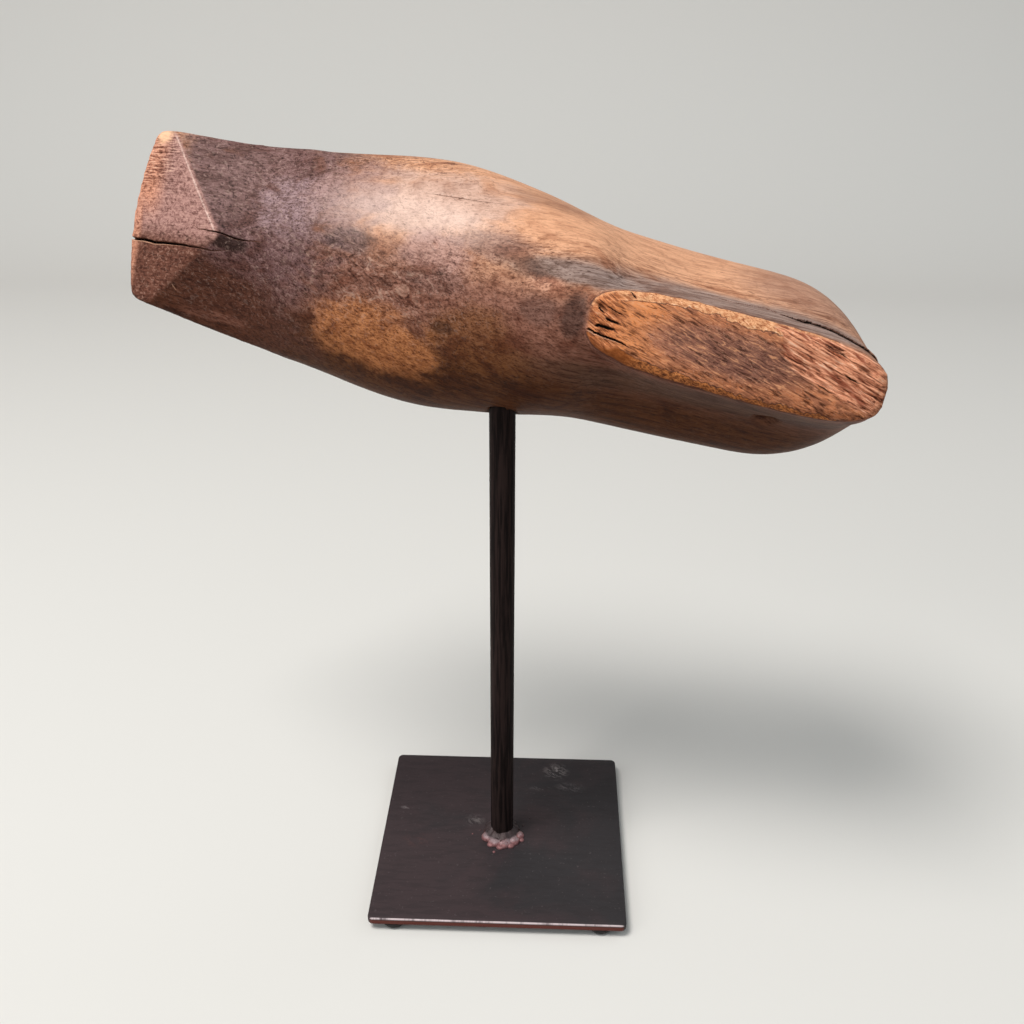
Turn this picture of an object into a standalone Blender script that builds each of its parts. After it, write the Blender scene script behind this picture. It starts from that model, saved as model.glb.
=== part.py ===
"""An old wooden shoe last shown on its side on a blackened steel stand.

The last is one piece of wood, drilled from below and set on a round rod that is welded to a square plate.
Units are metres and +Z is up. The origin is on the floor, in the middle of the whole object's box.
The last has its own frame: along it from heel to toe, across it towards the rod, and up from its sole.
"""

import math
from typing import NamedTuple

import bmesh
import bpy
from mathutils import Matrix, Vector

# Stand
ROD_AXIS_X = 0.0033
ROD_AXIS_Y = -0.0014
PLATE_SIDE = 0.1016
PLATE_THICKNESS = 0.0032
PLATE_CORNER_RADIUS = 0.0030
PLATE_EDGE_ROUND = 0.0006
ROD_DIAMETER = 0.009525
ROD_LENGTH = 0.2200
ROD_END_ROUND = 0.0006
WELD_LEG = 0.0037
WELD_HEIGHT = 0.0036
WELD_LUMPS = 9
WELD_LUMP_DEPTH = 0.0005
FOOT_DIAMETER = 0.0100
FOOT_REST_DIAMETER = 0.0060
FOOT_HEIGHT = 0.0028
FOOT_DOME_HEIGHT = 0.0021
FOOT_INSET_FROM_SIDE = 0.0100
FOOT_INSET_FROM_FRONT = 0.0050

# Clearances
SEAT_GAP = 0.0003
SOCKET_CLEARANCE = 0.0003

# How the last sits on the rod
LAST_TILT_DEG = 12.4
LAST_ROLL_DEG = 17.6
ROD_FROM_HEEL = 0.1345
ROD_ABOVE_SOLE = 0.0448
SOCKET_ROOF_BELOW_AXIS = 0.0128

# The last's plan
LAST_LENGTH = 0.2700
HEEL_WIDTH = 0.0660
SHANK_WIDTH = 0.0686
INSTEP_WIDTH = 0.0795
BALL_WIDTH = 0.0867
VAMP_WIDTH = 0.0764
FOREPART_WIDTH = 0.0680
TOE_WIDTH = 0.0608
HEEL_ROUND_LENGTH = 0.0400
TOE_EDGE_BULGE = 0.0042
TOE_CORNER_RADIUS = 0.0034
SWING_AT_HEEL_END = 0.0024
SWING_AT_HEEL = 0.0011
SWING_AT_BALL = -0.0007
SWING_AT_TOE = -0.0024

# The last's profile
CONE_BACK_HEIGHT = 0.0777
CONE_FRONT_HEIGHT = 0.0760
CONE_STEP = 0.0030
INSTEP_HEIGHT = 0.0640
BALL_HEIGHT = 0.0545
VAMP_HEIGHT = 0.0420
TOE_RIDGE_HEIGHT = 0.0300
TOE_RIDGE_FALL = 0.0020
TOE_END_HEIGHT = 0.0120
TOE_SPRING = 0.0080
TOE_WALL_HEIGHT = 0.0095
SHANK_ARCH = 0.0070
HEEL_PITCH = 0.0040
HEEL_SEAT_ROUNDING = 0.0020
HEEL_BACK_LEAN = 0.0100
HEEL_LEAN_FROM_HEIGHT = 0.0220
HEEL_LEAN_POWER = 1.3
HEEL_LEAN_LENGTH = 0.0700
HEEL_UNDERCUT = 0.0045
HEEL_UNDERCUT_HEIGHT = 0.0160
HEEL_WIDEST_ABOVE_SEAT = 0.0200
SHANK_WIDEST_ABOVE_SOLE = 0.0190
BALL_WIDEST_HEIGHT = 0.0240
FOREPART_WIDEST_HEIGHT = 0.0175
FACET_LENGTH = 0.0330
RIDGE_WEAR_WIDTH = 0.0012

# The cone's top and the hole for the lasting hook
CONE_FRONT_FROM_HEEL = 0.1085
CONE_BACK_FROM_HEEL = 0.0080
CONE_TOP_WIDTH = 0.0270
CONE_TOP_SQUARENESS = 3.4
CONE_TOP_OFFSET = 0.0015
CONE_TOP_TURN_DEG = 1.96
CONE_RIM_DROP = 0.0020
CONE_RIM_WIDTH = 0.0030
CONE_RIM_SHIFT = 0.0009
CONE_WALL_DEPTH = 0.0200
CONE_WALL_FLARE_DEG = 13.0
CONE_SKIRT_DEPTH = 0.0120
HOOK_HOLE_DIAMETER = 0.0090
HOOK_HOLE_FROM_HEEL = 0.0393
HOOK_HOLE_BELOW_TOP = 0.0222
HOOK_HOLE_DEPTH = 0.0220

# How finely the surfaces are divided
ROUND_SIDES = 32
CORNER_STEPS = 5
EDGE_STEPS = 2
FOOT_STEPS = 5
WELD_STEPS_AROUND = 54
STATIONS_ROUND_HEEL = 11
FIRST_HEEL_STEP = 0.6
STATIONS_ALONG = 40
WALL_POINTS = 6
FLANK_POINTS = 15
CURVE_STEPS = 24
SMOOTH_ANGLE_DEG = 35.0
CUT_MARGIN = 0.0200

PLATE_UNDERSIDE = FOOT_HEIGHT + SEAT_GAP
PLATE_TOP = PLATE_UNDERSIDE + PLATE_THICKNESS
ROD_BOTTOM = PLATE_TOP + SEAT_GAP
ROD_TOP = ROD_BOTTOM + ROD_LENGTH
SOCKET_TOP = ROD_TOP + SEAT_GAP
LAST_CENTRE_HEIGHT = SOCKET_TOP + SOCKET_ROOF_BELOW_AXIS

# Places along the last, as shares of its length from the heel
HEEL_SEAT_SHARE = 0.11
HEEL_SHARE = 0.14
SHANK_SHARE = 0.363
INSTEP_SHARE = 0.474
CONE_FOOT_SHARE = 0.50
BALL_SHARE = 0.585
TREAD_SHARE = 0.68
VAMP_SHARE = 0.741
SPRING_SHARE = 0.83
FOREPART_SHARE = 0.870
CONE_FRONT_SHARE = CONE_FRONT_FROM_HEEL / LAST_LENGTH
FACET_SHARE = 1.0 - FACET_LENGTH / LAST_LENGTH
CONE_TURN_SHARE = 0.05

# How much of the half width the flat of the sole takes
SOLE_FLAT = ((0.0, 0.82), (SHANK_SHARE, 0.72), (BALL_SHARE, 0.80), (VAMP_SHARE, 0.90), (1.0, 0.97))
# Where the points lie on half of the sole's flat, as shares of it: closer together near its edge
SOLE_STEPS = (0.0, 0.34, 0.66, 0.88, 0.96)
# How far up the flank stands before it leans in
FLANK_RISE = ((0.0, 0.50), (BALL_SHARE, 0.50), (VAMP_SHARE, 0.38), (FACET_SHARE, 0.05), (1.0, 0.02))
# How far out the flank's shoulder stays below the ridge or the cone's top
FLANK_SHOULDER = (
    (0.0, 0.12),
    (CONE_FRONT_SHARE - CONE_TURN_SHARE, 0.15),
    (CONE_FRONT_SHARE, 0.45),
    (BALL_SHARE, 0.55),
    (VAMP_SHARE, 0.45),
    (FACET_SHARE, 0.05),
    (1.0, 0.02),
)
# How far that shoulder lies below the top
FLANK_DROP = (
    (0.0, 0.35),
    (CONE_FRONT_SHARE - CONE_TURN_SHARE, 0.30),
    (CONE_FRONT_SHARE, 0.08),
    (BALL_SHARE, 0.0),
    (VAMP_SHARE, 0.02),
    (1.0, 0.02),
)
# How much of the cone's steep wall is left along it
CONE_WALL_SHARES = (
    (0.0, 1.0),
    (CONE_FRONT_SHARE - 0.14, 1.0),
    (CONE_FRONT_SHARE + 0.01, 0.0),
    (1.0, 0.0),
)
# How much of the cone's width is left where its front narrows into the ridge
CONE_NARROWING = (
    (CONE_FRONT_SHARE - 0.12, 1.0),
    (CONE_FRONT_SHARE - 0.03, 0.70),
    (CONE_FRONT_SHARE, 0.32),
    (CONE_FRONT_SHARE + 0.05, 0.14),
)
# How the last swings from side to side
SWING = (
    (0.0, SWING_AT_HEEL_END),
    (0.10, SWING_AT_HEEL),
    (0.22, SWING_AT_HEEL),
    (0.52, SWING_AT_BALL),
    (SPRING_SHARE, SWING_AT_BALL),
    (1.0, SWING_AT_TOE),
)
# The weld's section, as shares of its leg outwards and of its height
WELD_PROFILE = ((0.0, 0.0), (1.0, 0.0), (1.03, 0.12), (0.84, 0.38), (0.52, 0.64), (0.24, 0.90), (0.0, 1.0))
WELD_SLOW_WAVE = 0.6
WELD_SLOW_WAVE_TURN = 0.8
WELD_HEIGHT_WAVE = 0.8


class Section(NamedTuple):
    """What sets one cross-section of the last, in metres and shares."""

    half_width: float
    widest_height: float
    sole_height: float
    sole_share: float
    top_height: float
    top_half_width: float
    wall_depth: float
    rise: float
    shoulder: float
    drop: float


def clear_scene():
    """Takes every object out of the file, so that only the model is in it."""
    for item in list(bpy.data.objects):
        bpy.data.objects.remove(item, do_unlink=True)


def make_material(name, colour, roughness, metallic):
    """A plain surface of one colour."""
    material = bpy.data.materials.new(name)
    material.use_nodes = True
    shader = material.node_tree.nodes["Principled BSDF"]
    shader.inputs["Base Color"].default_value = (*colour, 1.0)
    shader.inputs["Roughness"].default_value = roughness
    shader.inputs["Metallic"].default_value = metallic
    return material


def make_axis():
    """An empty on the floor under the rod. Everything stands round its Z axis."""
    axis = bpy.data.objects.new("rod_axis", None)
    axis.location = (ROD_AXIS_X, ROD_AXIS_Y, 0.0)
    bpy.context.scene.collection.objects.link(axis)
    return axis


def make_object(name, bm, axis, placement=None):
    """Turns a finished bmesh into a named object, placed relative to the rod's axis."""
    bmesh.ops.recalc_face_normals(bm, faces=bm.faces)
    mesh = bpy.data.meshes.new(name)
    bm.to_mesh(mesh)
    bm.free()
    item = bpy.data.objects.new(name, mesh)
    item.parent = axis
    if placement is not None:
        item.matrix_basis = placement
    bpy.context.scene.collection.objects.link(item)
    return item


def finish_piece(item, material):
    """Gives a piece its material and smooth shading that keeps the sharp edges."""
    item.data.materials.append(material)
    item.data.shade_smooth()
    item.data.set_sharp_from_angle(angle=math.radians(SMOOTH_ANGLE_DEG))
    return item


def make_cutter(name, bm, axis, placement=None):
    """A shape that only cuts or joins another and isn't part of the model."""
    item = make_object(name, bm, axis, placement)
    item.hide_render = True
    item.display_type = "WIRE"
    return item


def combine(target, tool, operation):
    """Cuts the target by the tool, or joins them."""
    change = target.modifiers.new(tool.name, "BOOLEAN")
    change.operation = operation
    change.object = tool
    change.solver = "EXACT"


def curve_through(points):
    """A smooth curve through a few points that never overshoots between them."""
    xs = [x for x, _ in points]
    ys = [y for _, y in points]
    steps = [b - a for a, b in zip(xs, xs[1:])]
    slopes = [(b - a) / step for a, b, step in zip(ys, ys[1:], steps)]
    tangents = [slopes[0]]
    for before, after, left, right in zip(slopes, slopes[1:], steps, steps[1:]):
        if before * after <= 0.0:
            tangents.append(0.0)
        else:
            near = 2.0 * right + left
            far = right + 2.0 * left
            tangents.append((near + far) / (near / before + far / after))
    tangents.append(slopes[-1])

    def value(x):
        x = min(max(x, xs[0]), xs[-1])
        i = max(k for k in range(len(steps)) if xs[k] <= x or k == 0)
        t = (x - xs[i]) / steps[i]
        from_left = ys[i] * (1.0 + 2.0 * t) + tangents[i] * steps[i] * t
        from_right = ys[i + 1] * (3.0 - 2.0 * t) - tangents[i + 1] * steps[i] * (1.0 - t)
        return from_left * (1.0 - t) ** 2 + from_right * t**2

    return value


half_width_at = curve_through(
    (
        (HEEL_SHARE, HEEL_WIDTH / 2),
        (SHANK_SHARE, SHANK_WIDTH / 2),
        (INSTEP_SHARE, INSTEP_WIDTH / 2),
        (BALL_SHARE, BALL_WIDTH / 2),
        (VAMP_SHARE, VAMP_WIDTH / 2),
        (FOREPART_SHARE, FOREPART_WIDTH / 2),
        (1.0, TOE_WIDTH / 2),
    )
)
widest_height_at = curve_through(
    (
        (0.0, HEEL_PITCH + HEEL_WIDEST_ABOVE_SEAT),
        (SHANK_SHARE, SHANK_ARCH + SHANK_WIDEST_ABOVE_SOLE),
        (BALL_SHARE, BALL_WIDEST_HEIGHT),
        (FOREPART_SHARE, FOREPART_WIDEST_HEIGHT),
        (1.0, TOE_SPRING + TOE_WALL_HEIGHT),
    )
)
sole_height_at = curve_through(
    (
        (0.0, HEEL_PITCH + HEEL_SEAT_ROUNDING),
        (HEEL_SEAT_SHARE, HEEL_PITCH),
        (SHANK_SHARE, SHANK_ARCH),
        (TREAD_SHARE, 0.0),
        (SPRING_SHARE, TOE_SPRING / 4),
        (1.0, TOE_SPRING),
    )
)
top_height_at = curve_through(
    (
        (0.0, CONE_BACK_HEIGHT - CONE_RIM_DROP - SEAT_GAP),
        (CONE_FRONT_SHARE - CONE_TURN_SHARE, CONE_FRONT_HEIGHT - CONE_RIM_DROP),
        (CONE_FRONT_SHARE, CONE_FRONT_HEIGHT - CONE_STEP),
        (CONE_FOOT_SHARE, INSTEP_HEIGHT),
        (BALL_SHARE, BALL_HEIGHT),
        (VAMP_SHARE, VAMP_HEIGHT),
        (FACET_SHARE, TOE_RIDGE_HEIGHT),
        (1.0, TOE_RIDGE_HEIGHT - TOE_RIDGE_FALL),
    )
)
top_half_width_at = curve_through(
    (
        (0.0, CONE_TOP_WIDTH / 2 - SEAT_GAP),
        *((share, CONE_TOP_WIDTH / 2 * left - SEAT_GAP) for share, left in CONE_NARROWING),
        (BALL_SHARE, RIDGE_WEAR_WIDTH / 2),
        (1.0, RIDGE_WEAR_WIDTH / 2),
    )
)
sole_share_at = curve_through(SOLE_FLAT)
wall_share_at = curve_through(CONE_WALL_SHARES)
rise_at = curve_through(FLANK_RISE)
shoulder_at = curve_through(FLANK_SHOULDER)
drop_at = curve_through(FLANK_DROP)
swing_at = curve_through(SWING)


def section_at(share):
    """The cross-section at a share of the last's length from the heel."""
    from_back = share * LAST_LENGTH
    round_share = 1.0
    if from_back < HEEL_ROUND_LENGTH:
        round_share = math.sqrt(1.0 - (1.0 - from_back / HEEL_ROUND_LENGTH) ** 2)
    half_width = half_width_at(share) * round_share
    return Section(
        half_width,
        widest_height_at(share),
        sole_height_at(share),
        sole_share_at(share),
        top_height_at(share),
        min(top_half_width_at(share) * math.sqrt(round_share), half_width),
        CONE_WALL_DEPTH * wall_share_at(share) * round_share,
        rise_at(share),
        shoulder_at(share),
        drop_at(share),
    )


def bezier(corners, t):
    """A point on the cubic curve with these four corners."""
    a, b, c, d = corners
    s = 1.0 - t
    return s**3 * a + 3.0 * s * s * t * b + 3.0 * s * t * t * c + t**3 * d


def spread_evenly(points, count):
    """The same line in this many steps of one length."""
    lengths = [0.0]
    for point, following in zip(points, points[1:]):
        lengths.append(lengths[-1] + (following - point).length)
    even = []
    for i in range(count + 1):
        target = lengths[-1] * i / count
        k = max(j for j in range(len(points) - 1) if lengths[j] <= target)
        even.append(points[k].lerp(points[k + 1], (target - lengths[k]) / (lengths[k + 1] - lengths[k])))
    return even


def half_outline(section):
    """Half a cross-section as (across, up) points, from the sole's centre round to the ridge."""
    sole_half = section.half_width * section.sole_share
    points = [Vector((sole_half * step, section.sole_height)) for step in SOLE_STEPS]
    for i in range(WALL_POINTS):
        angle = math.pi / 2 * i / (WALL_POINTS - 1)
        across = sole_half + (section.half_width - sole_half) * math.sin(angle)
        up = section.sole_height + (section.widest_height - section.sole_height) * (1.0 - math.cos(angle))
        points.append(Vector((across, up)))
    flare = math.tan(math.radians(CONE_WALL_FLARE_DEG))
    foot_half_width = min(section.top_half_width + section.wall_depth * flare, section.half_width)
    foot_height = section.top_height - section.wall_depth
    climb = foot_height - section.widest_height
    lean_in = section.half_width - foot_half_width
    foot = Vector((foot_half_width, foot_height))
    corners = (
        Vector((section.half_width, section.widest_height)),
        Vector((section.half_width, section.widest_height + section.rise * climb)),
        foot + Vector((section.shoulder * lean_in, -section.drop * climb)),
        foot,
    )
    flank = [bezier(corners, i / CURVE_STEPS) for i in range(CURVE_STEPS + 1)]
    if section.wall_depth > 0.0:
        flank.append(Vector((section.top_half_width, section.top_height)))
    points += spread_evenly(flank, FLANK_POINTS)[1:]
    points.append(Vector((0.0, section.top_height)))
    return points


def shift_along(share, across, up):
    """How far a point lies ahead of its station: the heel's back leans, and the toe's end is bowed."""
    near_heel = max(0.0, 1.0 - share * LAST_LENGTH / HEEL_LEAN_LENGTH)
    climb = max(0.0, (up - HEEL_LEAN_FROM_HEIGHT) / (CONE_BACK_HEIGHT - HEEL_LEAN_FROM_HEIGHT))
    lean = HEEL_BACK_LEAN * climb**HEEL_LEAN_POWER
    undercut = HEEL_UNDERCUT * max(0.0, 1.0 - up / HEEL_UNDERCUT_HEIGHT) ** 2
    near_toe = max(0.0, (share - VAMP_SHARE) / (1.0 - VAMP_SHARE))
    bow = TOE_EDGE_BULGE * (across / (TOE_WIDTH / 2)) ** 2
    into_corner = max(0.0, 1.0 - (TOE_WIDTH / 2 - abs(across)) / TOE_CORNER_RADIUS)
    corner = TOE_CORNER_RADIUS * (1.0 - math.sqrt(1.0 - min(into_corner, 1.0) ** 2))
    return (lean + undercut) * near_heel - (bow + corner) * near_toe


def cone_top_height(along):
    """The cone's flat top rises a little towards the heel."""
    share = (along - CONE_BACK_FROM_HEEL) / (CONE_FRONT_FROM_HEEL - CONE_BACK_FROM_HEEL)
    return CONE_BACK_HEIGHT + (CONE_FRONT_HEIGHT - CONE_BACK_HEIGHT) * share


def cone_centre(along):
    """Where the middle of the cone's top lies across the last."""
    middle = (CONE_FRONT_FROM_HEEL + CONE_BACK_FROM_HEEL) / 2
    return CONE_TOP_OFFSET + math.tan(math.radians(CONE_TOP_TURN_DEG)) * (middle - along)


def in_last(along, across, up):
    """A point of the last's frame, measured from where the rod's axis passes through it."""
    return Vector((along - ROD_FROM_HEEL, across, up - ROD_ABOVE_SOLE))


def last_placement():
    """Turns the last's frame on its side: the sole to the back, the toe to the left and up."""
    on_side = Matrix(((-1.0, 0.0, 0.0), (0.0, 0.0, -1.0), (0.0, -1.0, 0.0)))
    tilt = Matrix.Rotation(math.radians(LAST_TILT_DEG), 3, "Y")
    roll = Matrix.Rotation(math.radians(-LAST_ROLL_DEG), 3, "X")
    return Matrix.Translation((0.0, 0.0, LAST_CENTRE_HEIGHT)) @ (tilt @ roll @ on_side).to_4x4()


def station_shares():
    """Where the cross-sections stand: closer together round the heel."""
    round_share = HEEL_ROUND_LENGTH / LAST_LENGTH
    shares = []
    for i in range(STATIONS_ROUND_HEEL):
        angle = math.pi / 2 * (i + FIRST_HEEL_STEP) / (STATIONS_ROUND_HEEL - 1 + FIRST_HEEL_STEP)
        shares.append(round_share * (1.0 - math.cos(angle)))
    for i in range(1, STATIONS_ALONG + 1):
        shares.append(round_share + (1.0 - round_share) * i / STATIONS_ALONG)
    return shares


def sideways(share, section, up):
    """How far a point stands to the side: the whole last swings, and its top follows the cone's."""
    swing = swing_at(share)
    climb = max(0.0, (up - section.widest_height) / (section.top_height - section.widest_height))
    return swing + (cone_centre(share * LAST_LENGTH) - swing) * wall_share_at(share) * climb**2


def last_ring(bm, share):
    """One closed cross-section of the last as vertices, and how many of them make a half."""
    section = section_at(share)
    half = half_outline(section)
    left = [(-point.x, point.y) for point in reversed(half[1:-1])]
    ring = []
    for across, up in [(point.x, point.y) for point in half] + left:
        along = share * LAST_LENGTH + shift_along(share, across, up)
        ring.append(bm.verts.new(in_last(along, across + sideways(share, section, up), up)))
    return ring, len(half)


def close_heel(bm, ring, half):
    """Closes the heel: a face for the sole, a ladder up the two flanks, and a face for the ridge."""
    first_rung = len(SOLE_STEPS) + 1
    last_rung = half - 3
    bm.faces.new([ring[i] for i in range(-first_rung, first_rung + 1)])
    for i in range(first_rung, last_rung):
        bm.faces.new((ring[i], ring[i + 1], ring[-i - 1], ring[-i]))
    bm.faces.new([ring[i] for i in range(last_rung, len(ring) - last_rung + 1)])


def toe_row(bm, left, right):
    """One row of the toe's end wall between two points of the flanks, bowed as the sole's edge is."""
    middle, half_width = (left.co + right.co) / 2, (right.co.y - left.co.y) / 2
    steps = [-step for step in reversed(SOLE_STEPS[1:])] + list(SOLE_STEPS)
    inner = []
    for step in steps:
        along = LAST_LENGTH + shift_along(1.0, half_width * step, middle.z + ROD_ABOVE_SOLE)
        inner.append(bm.verts.new((along - ROD_FROM_HEEL, middle.y + half_width * step, middle.z)))
    return [left, *inner, right]


def close_toe(bm, ring, half):
    """Closes the toe: rows of faces from the sole's edge up the end wall, and a face for the ridge."""
    first_rung = len(SOLE_STEPS)
    last_rung = half - 3
    row = [ring[i] for i in range(-first_rung, first_rung + 1)]
    for i in range(first_rung + 1, last_rung + 1):
        following = toe_row(bm, ring[-i], ring[i])
        for j in range(len(row) - 1):
            bm.faces.new((row[j], row[j + 1], following[j + 1], following[j]))
        row = following
    bm.faces.new([ring[i] for i in range(last_rung, len(ring) - last_rung + 1)] + row[1:-1])


def build_last_form():
    """The body of the last: cross-sections lofted from heel to toe."""
    bm = bmesh.new()
    rings = [last_ring(bm, share) for share in station_shares()]
    for (ring, _), (following, _) in zip(rings, rings[1:]):
        for i in range(len(ring)):
            j = (i + 1) % len(ring)
            bm.faces.new((ring[i], ring[j], following[j], following[i]))
    close_heel(bm, *rings[0])
    close_toe(bm, *rings[-1])
    return bm


def cone_outline():
    """The long rounded outline of the cone's top, as (along, across) points."""
    half_length = (CONE_FRONT_FROM_HEEL - CONE_BACK_FROM_HEEL) / 2
    centre = (CONE_FRONT_FROM_HEEL + CONE_BACK_FROM_HEEL) / 2
    power = 2.0 / CONE_TOP_SQUARENESS
    points = []
    for i in range(2 * ROUND_SIDES):
        angle = math.pi * i / ROUND_SIDES
        along = math.copysign(abs(math.cos(angle)) ** power, math.cos(angle))
        across = math.copysign(abs(math.sin(angle)) ** power, math.sin(angle))
        from_heel = centre + half_length * along
        points.append((from_heel, cone_centre(from_heel) + CONE_TOP_WIDTH / 2 * across))
    return points


def build_cone_top():
    """The flat top of the cone, with a worn rim and a skirt that reaches down into the body."""
    bm = bmesh.new()
    rim = [bm.verts.new((along, across, cone_top_height(along))) for along, across in cone_outline()]
    top = bm.faces.new(rim)
    top.normal_update()
    bmesh.ops.inset_region(bm, faces=[top], thickness=CONE_RIM_WIDTH, use_boundary=True, use_even_offset=True)
    flat = set(top.verts)
    for vert in bm.verts:
        if vert in flat:
            vert.co.y -= CONE_RIM_SHIFT
        else:
            vert.co.z -= CONE_RIM_DROP
    edges = [edge for edge in bm.edges if len(edge.link_faces) == 1]
    skirt = bmesh.ops.extrude_edge_only(bm, edges=edges)
    for item in skirt["geom"]:
        if isinstance(item, bmesh.types.BMVert):
            item.co.z = CONE_FRONT_HEIGHT - CONE_SKIRT_DEPTH
    bmesh.ops.contextual_create(bm, geom=[edge for edge in bm.edges if len(edge.link_faces) == 1])
    for vert in bm.verts:
        vert.co = in_last(*vert.co)
    return bm


def build_toe_cut():
    """A block whose lower face is the sloping facet of the toe."""
    run = FACET_LENGTH
    fall = TOE_RIDGE_HEIGHT - TOE_END_HEIGHT
    slope = math.atan2(fall, run)
    size = BALL_WIDTH
    bm = bmesh.new()
    bmesh.ops.create_cube(bm, size=size)
    bmesh.ops.translate(bm, verts=bm.verts, vec=(0.0, 0.0, size / 2))
    bmesh.ops.rotate(bm, verts=bm.verts, matrix=Matrix.Rotation(slope, 3, "Y"))
    middle = in_last(LAST_LENGTH - run / 2, 0.0, (TOE_RIDGE_HEIGHT + TOE_END_HEIGHT) / 2)
    bmesh.ops.translate(bm, verts=bm.verts, vec=middle)
    return bm


def build_hook_hole():
    """The blind round hole in the cone's lower wall."""
    bm = bmesh.new()
    flare = HOOK_HOLE_BELOW_TOP * math.tan(math.radians(CONE_WALL_FLARE_DEG))
    bottom = cone_centre(HOOK_HOLE_FROM_HEEL) + CONE_TOP_WIDTH / 2 + flare - HOOK_HOLE_DEPTH
    length = HOOK_HOLE_DEPTH + CUT_MARGIN
    radius = HOOK_HOLE_DIAMETER / 2
    bmesh.ops.create_cone(
        bm, cap_ends=True, segments=ROUND_SIDES, radius1=radius, radius2=radius, depth=length
    )
    bmesh.ops.rotate(bm, verts=bm.verts, matrix=Matrix.Rotation(math.pi / 2, 3, "X"))
    up = cone_top_height(HOOK_HOLE_FROM_HEEL) - HOOK_HOLE_BELOW_TOP
    bmesh.ops.translate(bm, verts=bm.verts, vec=in_last(HOOK_HOLE_FROM_HEEL, bottom + length / 2, up))
    return bm


def build_rod_socket():
    """The blind hole that the rod stands in, a little wider and longer than the rod."""
    bm = bmesh.new()
    radius = ROD_DIAMETER / 2 + SOCKET_CLEARANCE
    bottom = PLATE_TOP + ROD_LENGTH / 2
    depth = SOCKET_TOP - bottom
    bmesh.ops.create_cone(
        bm, cap_ends=True, segments=ROUND_SIDES, radius1=radius, radius2=radius, depth=depth
    )
    bmesh.ops.translate(bm, verts=bm.verts, vec=(0.0, 0.0, bottom + depth / 2))
    return bm


def build_last(axis, material):
    """The last: its lofted body with the cone's top, the toe's facet and its two holes."""
    placement = last_placement()
    last = finish_piece(make_object("last_body", build_last_form(), axis, placement), material)
    combine(last, make_cutter("cone_top_shape", build_cone_top(), axis, placement), "UNION")
    combine(last, make_cutter("toe_facet_shape", build_toe_cut(), axis, placement), "DIFFERENCE")
    combine(last, make_cutter("hook_hole_shape", build_hook_hole(), axis, placement), "DIFFERENCE")
    combine(last, make_cutter("rod_socket_shape", build_rod_socket(), axis), "DIFFERENCE")


def build_plate(axis, material):
    """The square plate with rounded corners and a slightly rounded edge."""
    bm = bmesh.new()
    bmesh.ops.create_cube(bm, size=1.0)
    bmesh.ops.scale(bm, verts=bm.verts, vec=(PLATE_SIDE, PLATE_SIDE, PLATE_THICKNESS))
    upright = [e for e in bm.edges if abs(e.verts[0].co.z - e.verts[1].co.z) > PLATE_THICKNESS / 2]
    bmesh.ops.bevel(
        bm,
        geom=upright,
        offset=PLATE_CORNER_RADIUS,
        segments=CORNER_STEPS,
        profile=0.5,
        affect="EDGES",
        material=-1,
    )
    rim = [e for e in bm.edges if abs(e.verts[0].co.z - e.verts[1].co.z) < PLATE_THICKNESS / 2]
    bmesh.ops.bevel(
        bm, geom=rim, offset=PLATE_EDGE_ROUND, segments=EDGE_STEPS, profile=0.5, affect="EDGES", material=-1
    )
    bmesh.ops.translate(bm, verts=bm.verts, vec=(0.0, 0.0, PLATE_UNDERSIDE + PLATE_THICKNESS / 2))
    finish_piece(make_object("base_plate", bm, axis), material)


def build_rod(axis, material):
    """The round rod that carries the last."""
    bm = bmesh.new()
    radius = ROD_DIAMETER / 2
    bmesh.ops.create_cone(
        bm, cap_ends=True, segments=ROUND_SIDES, radius1=radius, radius2=radius, depth=ROD_LENGTH
    )
    rims = [e for e in bm.edges if abs(e.verts[0].co.z - e.verts[1].co.z) < ROD_END_ROUND]
    bmesh.ops.bevel(
        bm, geom=rims, offset=ROD_END_ROUND, segments=EDGE_STEPS, profile=0.5, affect="EDGES", material=-1
    )
    bmesh.ops.translate(bm, verts=bm.verts, vec=(0.0, 0.0, ROD_BOTTOM + ROD_LENGTH / 2))
    finish_piece(make_object("support_rod", bm, axis), material)


def build_weld(axis, material):
    """The lumpy weld round the foot of the rod."""
    inner = ROD_DIAMETER / 2 + SEAT_GAP
    bm = bmesh.new()
    rings = []
    for step in range(WELD_STEPS_AROUND):
        turn = 2.0 * math.pi * step / WELD_STEPS_AROUND
        slow_wave = WELD_SLOW_WAVE * math.sin(2.0 * turn + WELD_SLOW_WAVE_TURN)
        lump = WELD_LUMP_DEPTH * (abs(math.sin(turn * WELD_LUMPS / 2)) + slow_wave)
        ring = []
        for out, up in WELD_PROFILE:
            radius = inner + out * (WELD_LEG + lump)
            height = up * (WELD_HEIGHT + WELD_HEIGHT_WAVE * lump)
            ring.append(bm.verts.new((radius * math.cos(turn), radius * math.sin(turn), ROD_BOTTOM + height)))
        rings.append(ring)
    for ring, following in zip(rings, rings[1:] + rings[:1]):
        for i in range(len(WELD_PROFILE)):
            j = (i + 1) % len(WELD_PROFILE)
            bm.faces.new((ring[i], following[i], following[j], ring[j]))
    finish_piece(make_object("weld_bead", bm, axis), material)


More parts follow.
